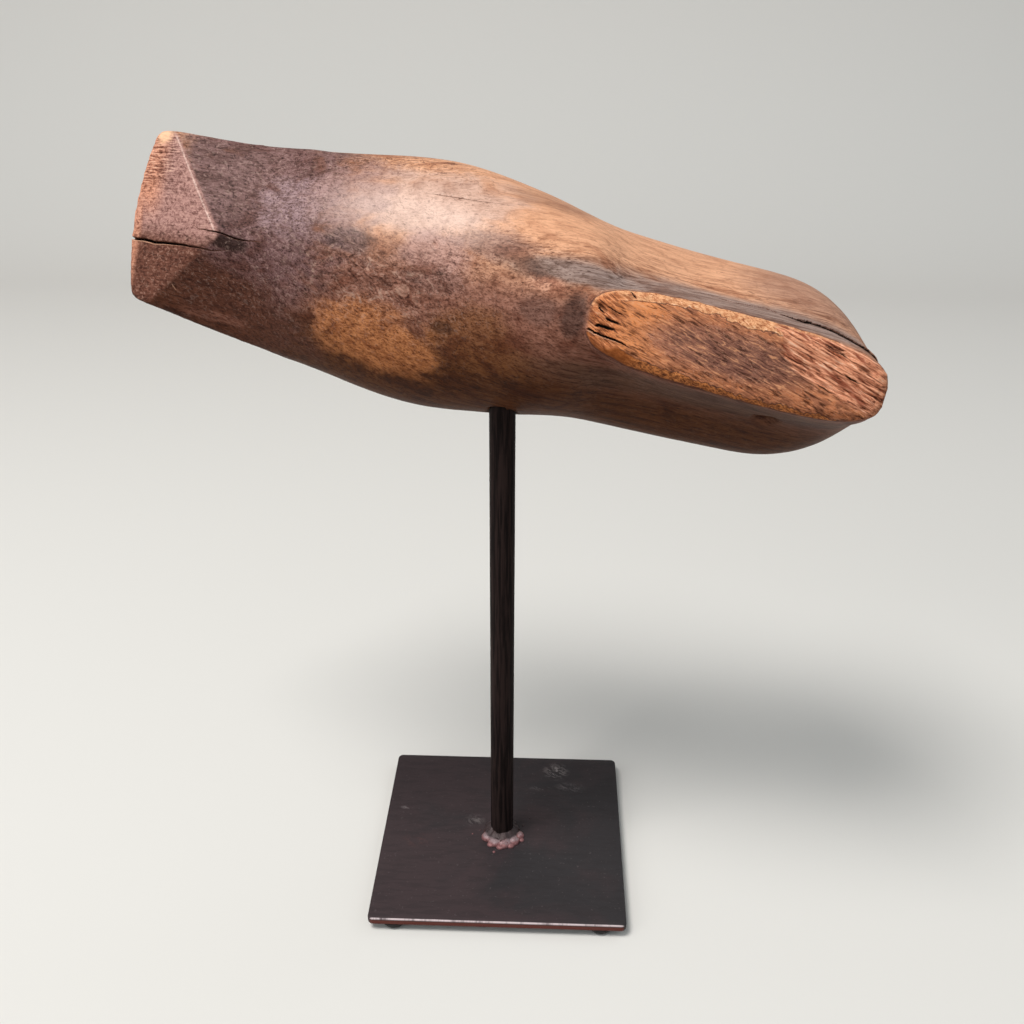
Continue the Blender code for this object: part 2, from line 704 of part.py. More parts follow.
def build_foot(name, across, back, axis, material):
    """A small rubber foot: a dome stuck under the plate, flat where it rests."""
    wide, rest = FOOT_DIAMETER / 2, FOOT_REST_DIAMETER / 2
    bm = bmesh.new()
    profile = [bm.verts.new((0.0, 0.0, 0.0)), bm.verts.new((rest, 0.0, 0.0))]
    for i in range(1, FOOT_STEPS + 1):
        angle = math.pi / 2 * i / FOOT_STEPS
        radius = rest + (wide - rest) * math.sin(angle)
        height = FOOT_DOME_HEIGHT * (1.0 - math.cos(angle))
        profile.append(bm.verts.new((radius, 0.0, height)))
    profile.append(bm.verts.new((wide, 0.0, FOOT_HEIGHT)))
    profile.append(bm.verts.new((0.0, 0.0, FOOT_HEIGHT)))
    edges = [bm.edges.new(pair) for pair in zip(profile, profile[1:])]
    bmesh.ops.spin(
        bm,
        geom=profile + edges,
        cent=(0.0, 0.0, 0.0),
        axis=(0.0, 0.0, 1.0),
        angle=2.0 * math.pi,
        steps=ROUND_SIDES // 2,
        use_merge=True,
    )
    bmesh.ops.remove_doubles(bm, verts=bm.verts, dist=0.00001)
    bmesh.ops.translate(bm, verts=bm.verts, vec=(across, back, 0.0))
    finish_piece(make_object(name, bm, axis), material)


def build_feet(axis, material):
    """Four feet, one near each corner of the plate."""
    across = PLATE_SIDE / 2 - FOOT_INSET_FROM_SIDE
    back = PLATE_SIDE / 2 - FOOT_INSET_FROM_FRONT
    for end, y in (("front", -back), ("rear", back)):
        for side, x in (("left", -across), ("right", across)):
            build_foot(f"foot_{end}_{side}", x, y, axis, material)


def main():
    """Builds the stand and the last that it carries."""
    clear_scene()
    axis = make_axis()
    steel = make_material("blackened_steel", (0.030, 0.026, 0.028), 0.42, 0.85)
    build_plate(axis, steel)
    build_rod(axis, steel)
    build_weld(axis, make_material("weld_metal", (0.230, 0.150, 0.130), 0.50, 0.80))
    build_feet(axis, make_material("black_rubber", (0.012, 0.012, 0.012), 0.75, 0.0))
    build_last(axis, make_material("worn_wood", (0.235, 0.105, 0.055), 0.45, 0.0))


main()
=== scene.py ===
"""The looks of an old square-toed shoe last, lying on its side on a blackened steel stand.

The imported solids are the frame: nothing here moves them. The last, the plate, the rod, the weld and the
rubber feet are modelled again in fine meshes that stay inside the solids' box, and each rides on the body of
the solid that it stands for. The last has its own frame, in which its marks and finishes are placed: along it
from heel to toe, across it towards the rod, and up from its sole.
"""

import logging
import math
from collections.abc import Iterable, Sequence
from dataclasses import dataclass, field
from enum import Enum
from typing import Any

import bmesh
import bpy
import numpy as np
from mathutils import Matrix, Vector, noise
from mathutils.bvhtree import BVHTree
from mathutils.kdtree import KDTree


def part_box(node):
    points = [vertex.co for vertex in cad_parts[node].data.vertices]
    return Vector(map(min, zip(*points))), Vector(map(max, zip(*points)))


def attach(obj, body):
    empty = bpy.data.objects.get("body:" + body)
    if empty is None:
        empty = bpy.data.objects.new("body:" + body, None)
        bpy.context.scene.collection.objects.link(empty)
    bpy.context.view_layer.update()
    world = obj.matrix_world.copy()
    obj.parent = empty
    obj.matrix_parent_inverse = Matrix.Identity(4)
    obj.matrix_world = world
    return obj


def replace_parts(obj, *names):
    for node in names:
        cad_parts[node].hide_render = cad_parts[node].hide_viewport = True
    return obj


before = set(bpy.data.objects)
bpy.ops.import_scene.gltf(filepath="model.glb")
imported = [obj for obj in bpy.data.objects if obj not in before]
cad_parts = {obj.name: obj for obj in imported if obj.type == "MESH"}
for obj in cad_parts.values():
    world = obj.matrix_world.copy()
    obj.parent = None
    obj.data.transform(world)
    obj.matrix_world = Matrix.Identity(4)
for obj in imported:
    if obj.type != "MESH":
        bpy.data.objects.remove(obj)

logging.basicConfig(level=logging.INFO, format="%(message)s")
LOG = logging.getLogger("shoe_last")

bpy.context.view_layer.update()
MM = 0.001
SEAT_GAP = 0.3 * MM
MERGE_WITHIN = 0.002 * MM
REAR_GRAIN_DEG = 16.0
FRONT_GRAIN_DEG = 27.0
SHARP_STEEL_DEG = 40.0
SHARP_WELD_DEG = 60.0
SHARP_RUBBER_DEG = 35.0

Point = tuple[float, float, float]
Tone = tuple[float, float, float]


class Body(Enum):
    """The two bodies of the object, joined by the hinge along the rod."""

    STAND = "stand"
    LAST = "last"


class Slot(Enum):
    """The material slots of the record."""

    WOOD = "worn_wood"
    STEEL = "blackened_steel"
    WELD = "weld_metal"
    RUBBER = "black_rubber"


def linear(tone: Tone) -> tuple[float, float, float, float]:
    """Turns a colour as it is seen, from 0 to 255, into the light values that a shader takes.

    Args:
        tone: red, green and blue from 0 to 255.

    Returns:
        Red, green, blue and an alpha of 1 as light values.
    """
    values = [part / 255.0 for part in tone]
    light = [v / 12.92 if v <= 0.04045 else ((v + 0.055) / 1.055) ** 2.4 for v in values]
    return (light[0], light[1], light[2], 1.0)


class Value:
    """One socket of a material, which takes part in sums like a number."""

    def __init__(self, graph: "Graph", socket: bpy.types.NodeSocket) -> None:
        """Keeps the socket and the graph that it belongs to."""
        self.graph = graph
        self.socket = socket

    def _sum(self, operation: str, first: Any, second: Any) -> "Value":
        """Adds a Math node for two values, either of which may be a plain number."""
        return self.graph.node("ShaderNodeMath", {"operation": operation}, {0: first, 1: second})

    def __add__(self, other: Any) -> "Value":
        """This value plus another."""
        return self._sum("ADD", self, other)

    __radd__ = __add__

    def __sub__(self, other: Any) -> "Value":
        """This value less another."""
        return self._sum("SUBTRACT", self, other)

    def __rsub__(self, other: Any) -> "Value":
        """Another value less this one."""
        return self._sum("SUBTRACT", other, self)

    def __mul__(self, other: Any) -> "Value":
        """This value times another."""
        return self._sum("MULTIPLY", self, other)

    __rmul__ = __mul__

    def __truediv__(self, other: Any) -> "Value":
        """This value divided by another."""
        return self._sum("DIVIDE", self, other)

    def least(self, other: Any) -> "Value":
        """The smaller of two values."""
        return self._sum("MINIMUM", self, other)

    def most(self, other: Any) -> "Value":
        """The larger of two values."""
        return self._sum("MAXIMUM", self, other)

    def size(self) -> "Value":
        """The value without its sign."""
        return self._sum("ABSOLUTE", self, 0.0)

    def step(self, low: float, high: float) -> "Value":
        """A soft step that is 0 at low and 1 at high.

        Args:
            low: the value at which the step starts.
            high: the value at which it ends, which may be the smaller one.

        Returns:
            The share of the step that the value has climbed.
        """
        settings = {"interpolation_type": "SMOOTHSTEP", "clamp": True}
        if low < high:
            return self.graph.node("ShaderNodeMapRange", settings, {0: self, 1: low, 2: high, 3: 0.0, 4: 1.0})
        return self.graph.node("ShaderNodeMapRange", settings, {0: self, 1: high, 2: low, 3: 1.0, 4: 0.0})


class Graph:
    """The nodes of one material, built from Python expressions."""

    def __init__(self, name: str) -> None:
        """Makes an empty material with an output and a Principled shader.

        Args:
            name: the material's name.
        """
        self.material = bpy.data.materials.new(name)
        self.material.use_nodes = True
        self.tree = self.material.node_tree
        self.tree.nodes.clear()
        self.shader = self.tree.nodes.new("ShaderNodeBsdfPrincipled")
        output = self.tree.nodes.new("ShaderNodeOutputMaterial")
        self.tree.links.new(self.shader.outputs[0], output.inputs["Surface"])

    def node(
        self,
        kind: str,
        settings: dict[str, Any] | None = None,
        sockets: dict[int | str, Any] | None = None,
        output: int | str = 0,
    ) -> Value:
        """Adds one node.

        Args:
            kind: the node's type.
            settings: its own settings, which are set first.
            sockets: a value, a number or a tuple for each input, by its name or place.
            output: the name or place of the output that is wanted.

        Returns:
            The output as a value.
        """
        made = self.tree.nodes.new(kind)
        for key, setting in (settings or {}).items():
            setattr(made, key, setting)
        for key, given in (sockets or {}).items():
            if isinstance(given, Value):
                self.tree.links.new(given.socket, made.inputs[key])
            else:
                made.inputs[key].default_value = given
        return Value(self, made.outputs[output])

    def place(self, centre: Point, turn: Point = (0.0, 0.0, 0.0)) -> Value:
        """The object's coordinates, measured from a point and in a turned frame.

        Args:
            centre: the point, in metres.
            turn: the frame's turn, as Euler angles.

        Returns:
            The coordinates in that frame, in metres.
        """
        where = self.node("ShaderNodeTexCoord", output="Object")
        return self.node(
            "ShaderNodeMapping",
            {"vector_type": "TEXTURE"},
            {"Vector": where, "Location": centre, "Rotation": turn},
        )

    def stretch(self, where: Value, scale: Point, turn: Point = (0.0, 0.0, 0.0)) -> Value:
        """Turns and scales coordinates, so that a pattern gets its grain and size.

        Args:
            where: the coordinates.
            scale: how many features there are to a metre along each axis.
            turn: a turn made after scaling, as Euler angles.

        Returns:
            The changed coordinates.
        """
        turned = where
        if any(turn):
            turned = self.node("ShaderNodeMapping", sockets={"Vector": where, "Rotation": turn})
        return self.node("ShaderNodeMapping", sockets={"Vector": turned, "Scale": scale})

    def cloud(self, where: Value, detail: float = 2.0, rough: float = 0.5, swirl: float = 0.0) -> Value:
        """Soft noise from about 0.2 to 0.8 with one feature to a unit.

        Args:
            where: the scaled coordinates.
            detail: how many finer layers it has.
            rough: how strong those layers are.
            swirl: how far the pattern is drawn out of shape.

        Returns:
            The noise.
        """
        sockets = {"Vector": where, "Scale": 1.0, "Detail": detail, "Roughness": rough, "Distortion": swirl}
        return self.node("ShaderNodeTexNoise", {"noise_dimensions": "3D"}, sockets)

    def mark(self, name: str) -> Value:
        """A value that the mesh holds at each vertex."""
        settings = {"attribute_type": "GEOMETRY", "attribute_name": name}
        return self.node("ShaderNodeAttribute", settings, output="Fac")

    def axes(self, where: Value) -> tuple[Value, Value, Value]:
        """The three coordinates of a place as separate values."""
        split = self.node("ShaderNodeSeparateXYZ", sockets={0: where})
        return tuple(Value(self, socket) for socket in split.socket.node.outputs)

    def distance(self, where: Value, centre: Point, per_metre: Point) -> Value:
        """How far a place lies from a point, counted in a unit of its own along each axis.

        Args:
            where: the coordinates.
            centre: the point, in metres.
            per_metre: how many units there are to a metre along each axis.

        Returns:
            The distance in those units.
        """
        away = self.node("ShaderNodeVectorMath", {"operation": "SUBTRACT"}, {0: where, 1: centre})
        away = self.node("ShaderNodeVectorMath", {"operation": "MULTIPLY"}, {0: away, 1: per_metre})
        return self.node("ShaderNodeVectorMath", {"operation": "LENGTH"}, {0: away}, output="Value")

    def blend(self, first: Any, second: Any, share: Any, way: str = "MIX") -> Value:
        """Mixes two colours.

        Args:
            first: a colour as a value, or as red, green and blue from 0 to 255.
            second: the other colour.
            share: how much of the second colour there is.
            way: how they are mixed.

        Returns:
            The mixed colour.
        """
        colours = [tone if isinstance(tone, Value) else linear(tone) for tone in (first, second)]
        settings = {"data_type": "RGBA", "blend_type": way, "clamp_factor": True}
        return self.node("ShaderNodeMix", settings, {0: share, 6: colours[0], 7: colours[1]}, output=2)

    def bump(self, height: Value, depth: float) -> Value:
        """Turns a height from 0 to 1 into a bumped normal.

        Args:
            height: the height as a value.
            depth: how deep a height of 1 is, in metres.

        Returns:
            The normal.
        """
        sockets = {"Height": height, "Distance": depth, "Strength": 1.0}
        return self.node("ShaderNodeBump", sockets=sockets, output="Normal")

    def finish(self, **sockets: Any) -> bpy.types.Material:
        """Sets the shader's sockets.

        Args:
            sockets: a value, a number or a tuple for each socket, named with _ for a space.

        Returns:
            The finished material.
        """
        for name, given in sockets.items():
            socket = self.shader.inputs[name.replace("_", " ")]
            if isinstance(given, Value):
                self.tree.links.new(given.socket, socket)
            else:
                socket.default_value = given
        return self.material


def box_middle(node: str) -> Vector:
    """The middle of a solid's box."""
    low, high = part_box(node)
    return (low + high) / 2


def on_rod_axis(height: float) -> Vector:
    """The point of the rod's axis at a height."""
    low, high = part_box("support_rod")
    return Vector(((low.x + high.x) / 2, (low.y + high.y) / 2, height))


def linked(name: str, data: bpy.types.ID) -> bpy.types.Object:
    """Makes an object and puts it into the scene.

    Args:
        name: its name.
        data: its mesh, light or camera.

    Returns:
        The object.
    """
    made = bpy.data.objects.new(name, data)
    bpy.context.scene.collection.objects.link(made)
    return made


def nearest_tree(spots: np.ndarray) -> KDTree:
    """A tree that finds the nearest of many places.

    Args:
        spots: the places, one a row.

    Returns:
        The balanced tree.
    """
    tree = KDTree(len(spots))
    for i, spot in enumerate(spots):
        tree.insert(spot, i)
    tree.balance()
    return tree


def rise_of(edge: bmesh.types.BMEdge) -> float:
    """How much higher one end of an edge lies than the other."""
    return abs(edge.verts[0].co.z - edge.verts[1].co.z)


def rounded(bm: bmesh.types.BMesh, edges: list[bmesh.types.BMEdge], radius: float, steps: int) -> None:
    """Rounds some edges of a mesh.

    Args:
        bm: the mesh.
        edges: the edges.
        radius: how far the rounding reaches from each edge.
        steps: how many faces it is made of.
    """
    bmesh.ops.bevel(bm, geom=edges, offset=radius, segments=steps, profile=0.5, affect="EDGES", material=-1)


def spun(profile: Sequence[tuple[float, float]], steps: int, closed: bool = False) -> bmesh.types.BMesh:
    """Turns a half section round the upright axis.

    Args:
        profile: the section's points: how far out and how high, in metres.
        steps: how many steps the turn has.
        closed: whether the last point is joined to the first.

    Returns:
        The turned mesh.
    """
    bm = bmesh.new()
    verts = [bm.verts.new((out, 0.0, up)) for out, up in profile]
    ends = verts[1:] + verts[:1] if closed else verts[1:]
    edges = [bm.edges.new(pair) for pair in zip(verts, ends)]
    bmesh.ops.spin(
        bm, geom=verts + edges, cent=(0.0, 0.0, 0.0), axis=(0.0, 0.0, 1.0), angle=math.tau, steps=steps,
        use_merge=True,
    )
    bmesh.ops.remove_doubles(bm, verts=bm.verts, dist=MERGE_WITHIN)
    bmesh.ops.recalc_face_normals(bm, faces=bm.faces)
    return bm


@dataclass(frozen=True)
class LastFrame:
    """The last's own frame, found from the rod that carries it.

    Attributes:
        tilt_deg: how far the last is turned in its length, so that its toe lies higher.
        roll_deg: how far it is turned about its length.
        rod_from_heel: how far from the heel the rod's axis meets the last.
        rod_above_sole: how far above the sole it does.
        roof_below_axis: how far the socket's roof lies below the last's axis.
    """

    tilt_deg: float = 12.4
    roll_deg: float = 17.6
    rod_from_heel: float = 134.5 * MM
    rod_above_sole: float = 44.8 * MM
    roof_below_axis: float = 12.8 * MM

    def matrix(self) -> Matrix:
        """The turn and shift from the last's frame to the world.

        Returns:
            The matrix, for places in metres.
        """
        centre = on_rod_axis(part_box("support_rod")[1].z + SEAT_GAP + self.roof_below_axis)
        on_side = Matrix(((-1.0, 0.0, 0.0), (0.0, 0.0, -1.0), (0.0, -1.0, 0.0)))
        tilt = Matrix.Rotation(math.radians(self.tilt_deg), 3, "Y")
        roll = Matrix.Rotation(math.radians(-self.roll_deg), 3, "X")
        start = Matrix.Translation((-self.rod_from_heel, 0.0, -self.rod_above_sole))
        return Matrix.Translation(centre) @ (tilt @ roll @ on_side).to_4x4() @ start

    def to_world(self, points: Iterable[Point]) -> list[Vector]:
        """Points of the last, given in millimetres, as world points in metres."""
        matrix = self.matrix()
        return [matrix @ (Vector(point) * MM) for point in points]

    def to_last(self, points: np.ndarray) -> np.ndarray:
        """World points in metres as points of the last in millimetres."""
        matrix = np.array(self.matrix().inverted())
        return (points @ matrix[:3, :3].T + matrix[:3, 3]) / MM


def waves(points: np.ndarray, size: float | Point, seed: float) -> np.ndarray:
    """Smooth noise from about -1 to 1.

    Args:
        points: the places, one a row.
        size: how large a feature is, as one length or one for each axis, in the places' unit.
        seed: a shift that makes one pattern differ from another.

    Returns:
        One value for each place.
    """
    scaled = points / np.array(size) + seed
    return np.array([noise.noise(Vector(place)) for place in scaled])


def smooth_step(values: np.ndarray, low: float, high: float) -> np.ndarray:
    """A soft step that is 0 at low and 1 at high, which may be the smaller one."""
    share = np.clip((values - low) / (high - low), 0.0, 1.0)
    return share * share * (3.0 - 2.0 * share)


@dataclass(frozen=True)
class Crack:
    """A drying crack or a scratch: a groove along a path, all in millimetres of the last's frame.

    Attributes:
        name: its name.
        path: the points that it runs through.
        width, depth: its size where it is widest.
        start, end: the shares of its way over which it opens and closes.
        lip: how high the wood beside it stands.
        jag, jag_length: how far it strays from its path, and how often.
        cell: how finely the mesh is divided there.
        dark: how dark its painted shade is, up to 1.
        seed: the shift of its own noise.
        lip_side: the direction in which its raised side lies.
        lip_spread: how far that side reaches, in half widths.
        ledge: whether the raised side is a broad ledge with a face in painted shade.
    """

    name: str
    path: tuple[Point, ...]
    width: float
    depth: float
    start: float = 0.15
    end: float = 0.15
    lip: float = 0.0
    jag: float = 0.0
    jag_length: float = 3.0
    cell: float = 0.25
    dark: float = 1.0
    seed: float = 0.0
    lip_side: Point = (0.0, 1.0, 0.0)
    lip_spread: float = 0.9
    ledge: bool = False

    def samples(self, surface: BVHTree, shape: LastFrame) -> np.ndarray:
        """Points along the groove, laid on the surface.

        Args:
            surface: the last's surface in the world.
            shape: the last's frame.

        Returns:
            One row for each point: its place in the last's frame and its share of the way.
        """
        stops = np.array(self.path)
        legs = np.linalg.norm(np.diff(stops, axis=0), axis=1)
        reach = np.concatenate(([0.0], np.cumsum(legs)))
        count = max(8, int(reach[-1] / (self.cell * 0.4)))
        way = np.linspace(0.0, reach[-1], count)
        line = np.stack([np.interp(way, reach, stops[:, axis]) for axis in range(3)], axis=1)
        if self.jag > 0.0:
            for axis in (1, 2):
                steps = np.stack([way, np.full(count, self.seed), np.full(count, float(axis))], axis=1)
                for share, length in ((1.0, self.jag_length), (0.4, self.jag_length / 3.0)):
                    line[:, axis] += self.jag * share * waves(steps, (length, 1.0, 1.0), self.seed + share)
        snapped = np.array([surface.find_nearest(place)[0] for place in shape.to_world(line)])
        return np.column_stack((shape.to_last(snapped), way / reach[-1]))

    def share_open(self, way: np.ndarray) -> np.ndarray:
        """How far the groove is open at each share of its way: it closes at both ends."""
        return smooth_step(way, 0.0, self.start) * smooth_step(1.0 - way, 0.0, self.end)


@dataclass(frozen=True)
class Dent:
    """A dent, or with a negative depth a swelling, in millimetres of the last's frame.

    Attributes:
        centre: where it is deepest.
        radii: how far it reaches along each axis.
        depth: how deep it is.
        turn_deg: how far it is turned about the upright axis.
    """

    centre: Point
    radii: Point
    depth: float
    turn_deg: float = 0.0

    def depth_at(self, points: np.ndarray) -> np.ndarray:
        """How deep it is at each place.

        Args:
            points: the places, one a row.

        Returns:
            One depth for each place.
        """
        away = points - np.array(self.centre)
        angle = math.radians(self.turn_deg)
        along = away[:, 0] * math.cos(angle) + away[:, 1] * math.sin(angle)
        across = -away[:, 0] * math.sin(angle) + away[:, 1] * math.cos(angle)
        far = (along / self.radii[0]) ** 2 + (across / self.radii[1]) ** 2 + (away[:, 2] / self.radii[2]) ** 2
        return self.depth * np.exp(-1.5 * far)


CRACKS: tuple[Crack, ...] = (
    Crack(
        "toe_crack",
        ((269.0, 7.0, 8.6), (269.4, 6.9, 10.5), (269.3, 6.8, 12.3), (263.6, 6.5, 15.5), (259.0, 6.4, 18.0),
         (251.2, 5.6, 22.3), (243.1, 5.2, 26.7), (236.0, 5.1, 28.3), (226.6, 2.8, 31.5)),
        width=0.80, depth=2.6, start=0.04, end=0.78, lip=0.10, jag=0.28, jag_length=6.0, seed=3.0,
    ),
    Crack(
        "ridge_crack",
        ((248.4, -2.6, 23.8), (242.4, -1.2, 27.1), (236.8, -1.5, 30.0), (233.2, -1.3, 30.6),
         (229.0, -0.4, 31.6), (224.6, -0.6, 32.9), (217.3, -1.6, 35.5)),
        width=0.44, depth=1.0, start=0.5, end=0.4, lip=0.03, jag=0.35, jag_length=5.0, seed=5.0,
    ),
    Crack(
        "flank_check",
        ((170.3, -29.0, 42.9), (162.4, -29.2, 45.2), (148.9, -29.9, 48.5), (138.9, -30.7, 49.9),
         (128.9, -31.3, 49.9)),
        width=0.22, depth=0.35, start=0.3, end=0.5, jag=0.10, cell=0.18, dark=0.62, seed=7.0,
    ),
    Crack(
        "heel_split",
        ((46.0, -15.5, 58.4), (41.2, -15.0, 60.2), (36.8, -14.5, 62.0), (35.0, -14.4, 60.2),
         (29.0, -14.3, 60.6), (23.4, -12.8, 62.6), (18.6, -11.0, 64.8), (14.2, -9.6, 65.2),
         (11.6, -7.6, 65.0), (10.0, -4.0, 64.5)),
        width=1.5, depth=1.8, start=0.28, end=0.10, lip=0.62, jag=0.24, jag_length=4.0, seed=11.0,
        lip_side=(0.0, 0.0, -1.0), lip_spread=4.5, ledge=True,
    ),
    Crack(
        "heel_seam",
        ((75.0, -16.0, 55.5), (60.1, -15.6, 59.0), (54.3, -15.9, 57.2), (49.0, -16.2, 56.0),
         (45.0, -15.6, 58.2)),
        width=0.7, depth=0.5, start=0.6, end=0.05, lip=0.25, jag=0.25, dark=0.40, seed=13.0,
        lip_side=(0.0, 0.0, -1.0), lip_spread=2.5, ledge=True,
    ),
    Crack(
        "lip_crack",
        ((107.4, 3.5, 74.6), (105.4, 4.3, 75.6), (102.1, 4.8, 76.1), (98.4, 5.1, 76.2), (95.4, 5.6, 76.2),
         (93.3, 6.4, 76.3), (90.4, 7.3, 76.3)),
        width=0.60, depth=1.5, start=0.05, end=0.5, lip=0.12, jag=0.2, jag_length=2.5, seed=17.0,
    ),
    Crack(
        "front_gap_first",
        ((105.8, -4.0, 75.9), (104.2, -3.0, 76.0), (102.5, -1.9, 76.1)),
        width=0.50, depth=0.9, start=0.25, end=0.4, jag=0.25, jag_length=1.8, dark=0.85, seed=19.0,
    ),
    Crack(
        "front_gap_long",
        ((103.6, -5.1, 76.1), (99.2, -3.4, 76.2), (94.6, -2.2, 76.2)),
        width=0.34, depth=0.7, start=0.3, end=0.5, jag=0.2, jag_length=2.5, dark=0.75, seed=23.0,
    ),
    Crack(
        "front_gap_middle",
        ((102.6, -0.9, 76.1), (100.4, -0.4, 76.2), (98.5, -0.1, 76.2), (95.8, 0.5, 76.2)),
        width=0.72, depth=1.0, start=0.2, end=0.5, jag=0.3, jag_length=1.8, dark=0.80, seed=27.0,
    ),
    Crack(
        "front_gap_lower",
        ((105.6, 2.2, 76.0), (103.4, 1.8, 76.1), (101.2, 1.9, 76.1), (98.8, 2.1, 76.2), (96.7, 3.4, 76.2)),
        width=0.86, depth=1.1, start=0.12, end=0.5, jag=0.3, jag_length=2.2, dark=0.85, seed=29.0,
    ),
    Crack(
        "rim_notch",
        ((96.4, -11.0, 74.8), (95.4, -10.0, 75.6), (93.9, -8.6, 76.2)),
        width=0.55, depth=0.6, start=0.15, end=0.3, jag=0.2, jag_length=2.0, dark=0.75, seed=31.0,
    ),
    Crack(
        "rear_gap_upper",
        ((29.5, -7.4, 77.4), (25.9, -6.2, 77.4), (22.5, -5.0, 77.5)),
        width=0.44, depth=0.9, start=0.4, end=0.5, jag=0.3, jag_length=2.5, dark=0.8, seed=41.0,
    ),
    Crack(
        "rear_gap_middle",
        ((25.0, -0.4, 77.5), (21.1, 0.8, 77.5), (17.5, 1.6, 77.5)),
        width=0.46, depth=0.9, start=0.4, end=0.4, jag=0.3, jag_length=2.5, dark=0.8, seed=43.0,
    ),
    Crack(
        "rear_gap_lower",
        ((33.5, 4.2, 77.3), (28.5, 5.6, 77.4), (24.0, 7.2, 77.4)),
        width=0.36, depth=0.7, start=0.4, end=0.5, jag=0.3, jag_length=2.5, dark=0.7, seed=47.0,
    ),
    Crack(
        "scar",
        ((161.3, -13.9, 51.9), (160.4, -12.9, 52.5), (159.3, -11.2, 53.1)),
        width=0.6, depth=0.3, start=0.3, end=0.3, lip=0.2, dark=0.1, seed=59.0,
    ),
    Crack(
        "toe_nick",
        ((250.2, 18.4, 22.2), (248.6, 20.1, 21.6), (247.2, 21.6, 21.2)),
        width=0.75, depth=0.55, start=0.3, end=0.3, lip=0.15, dark=0.25, seed=53.0,
    ),
)

DENTS: tuple[Dent, ...] = (
    Dent((111.2, -1.1, 72.5), (1.5, 1.1, 2.0), 0.40),
    Dent((108.8, 0.6, 73.0), (1.2, 1.0, 2.0), 0.35),
    Dent((109.3, 3.2, 72.9), (1.2, 1.0, 2.0), 0.45),
    Dent((121.0, -7.5, 68.5), (7.0, 3.6, 5.0), -0.40, 20.0),
    Dent((130.5, -7.0, 64.5), (6.0, 5.0, 5.0), 0.30),
    Dent((160.3, -12.6, 52.5), (1.0, 1.8, 2.0), 0.25),
    Dent((172.0, 3.0, 50.0), (7.0, 4.5, 5.0), 0.25),
    Dent((121.0, 1.5, 69.5), (7.0, 4.0, 5.0), 0.20),
    Dent((152.0, 13.5, 55.0), (4.0, 2.5, 4.0), 0.25),
    Dent((205.0, -6.0, 38.0), (9.0, 6.0, 6.0), 0.22),
    Dent((196.0, 14.0, 38.0), (7.0, 5.0, 6.0), 0.20),
    Dent((221.0, 17.0, 28.0), (8.0, 5.0, 6.0), 0.22),
    Dent((101.5, -8.3, 75.6), (5.5, 1.6, 2.5), -0.45, 25.0),
    Dent((100.0, 8.4, 75.2), (8.5, 2.4, 3.0), -0.45, -14.0),
)

UPPER_RIM = (
    (12.0, 30.0, 40.0, 55.4, 62.0, 73.8, 85.2, 94.8, 99.1, 103.3, 107.0),
    (-12.0, -9.5, -8.4, -7.6, -8.6, -9.4, -9.4, -7.9, -7.3, -6.0, -3.6),
)
LOWER_RIM = (
    (12.0, 40.5, 56.6, 73.4, 89.7, 98.0, 106.0),
    (14.8, 13.4, 13.2, 11.4, 9.4, 6.6, 4.4),
)


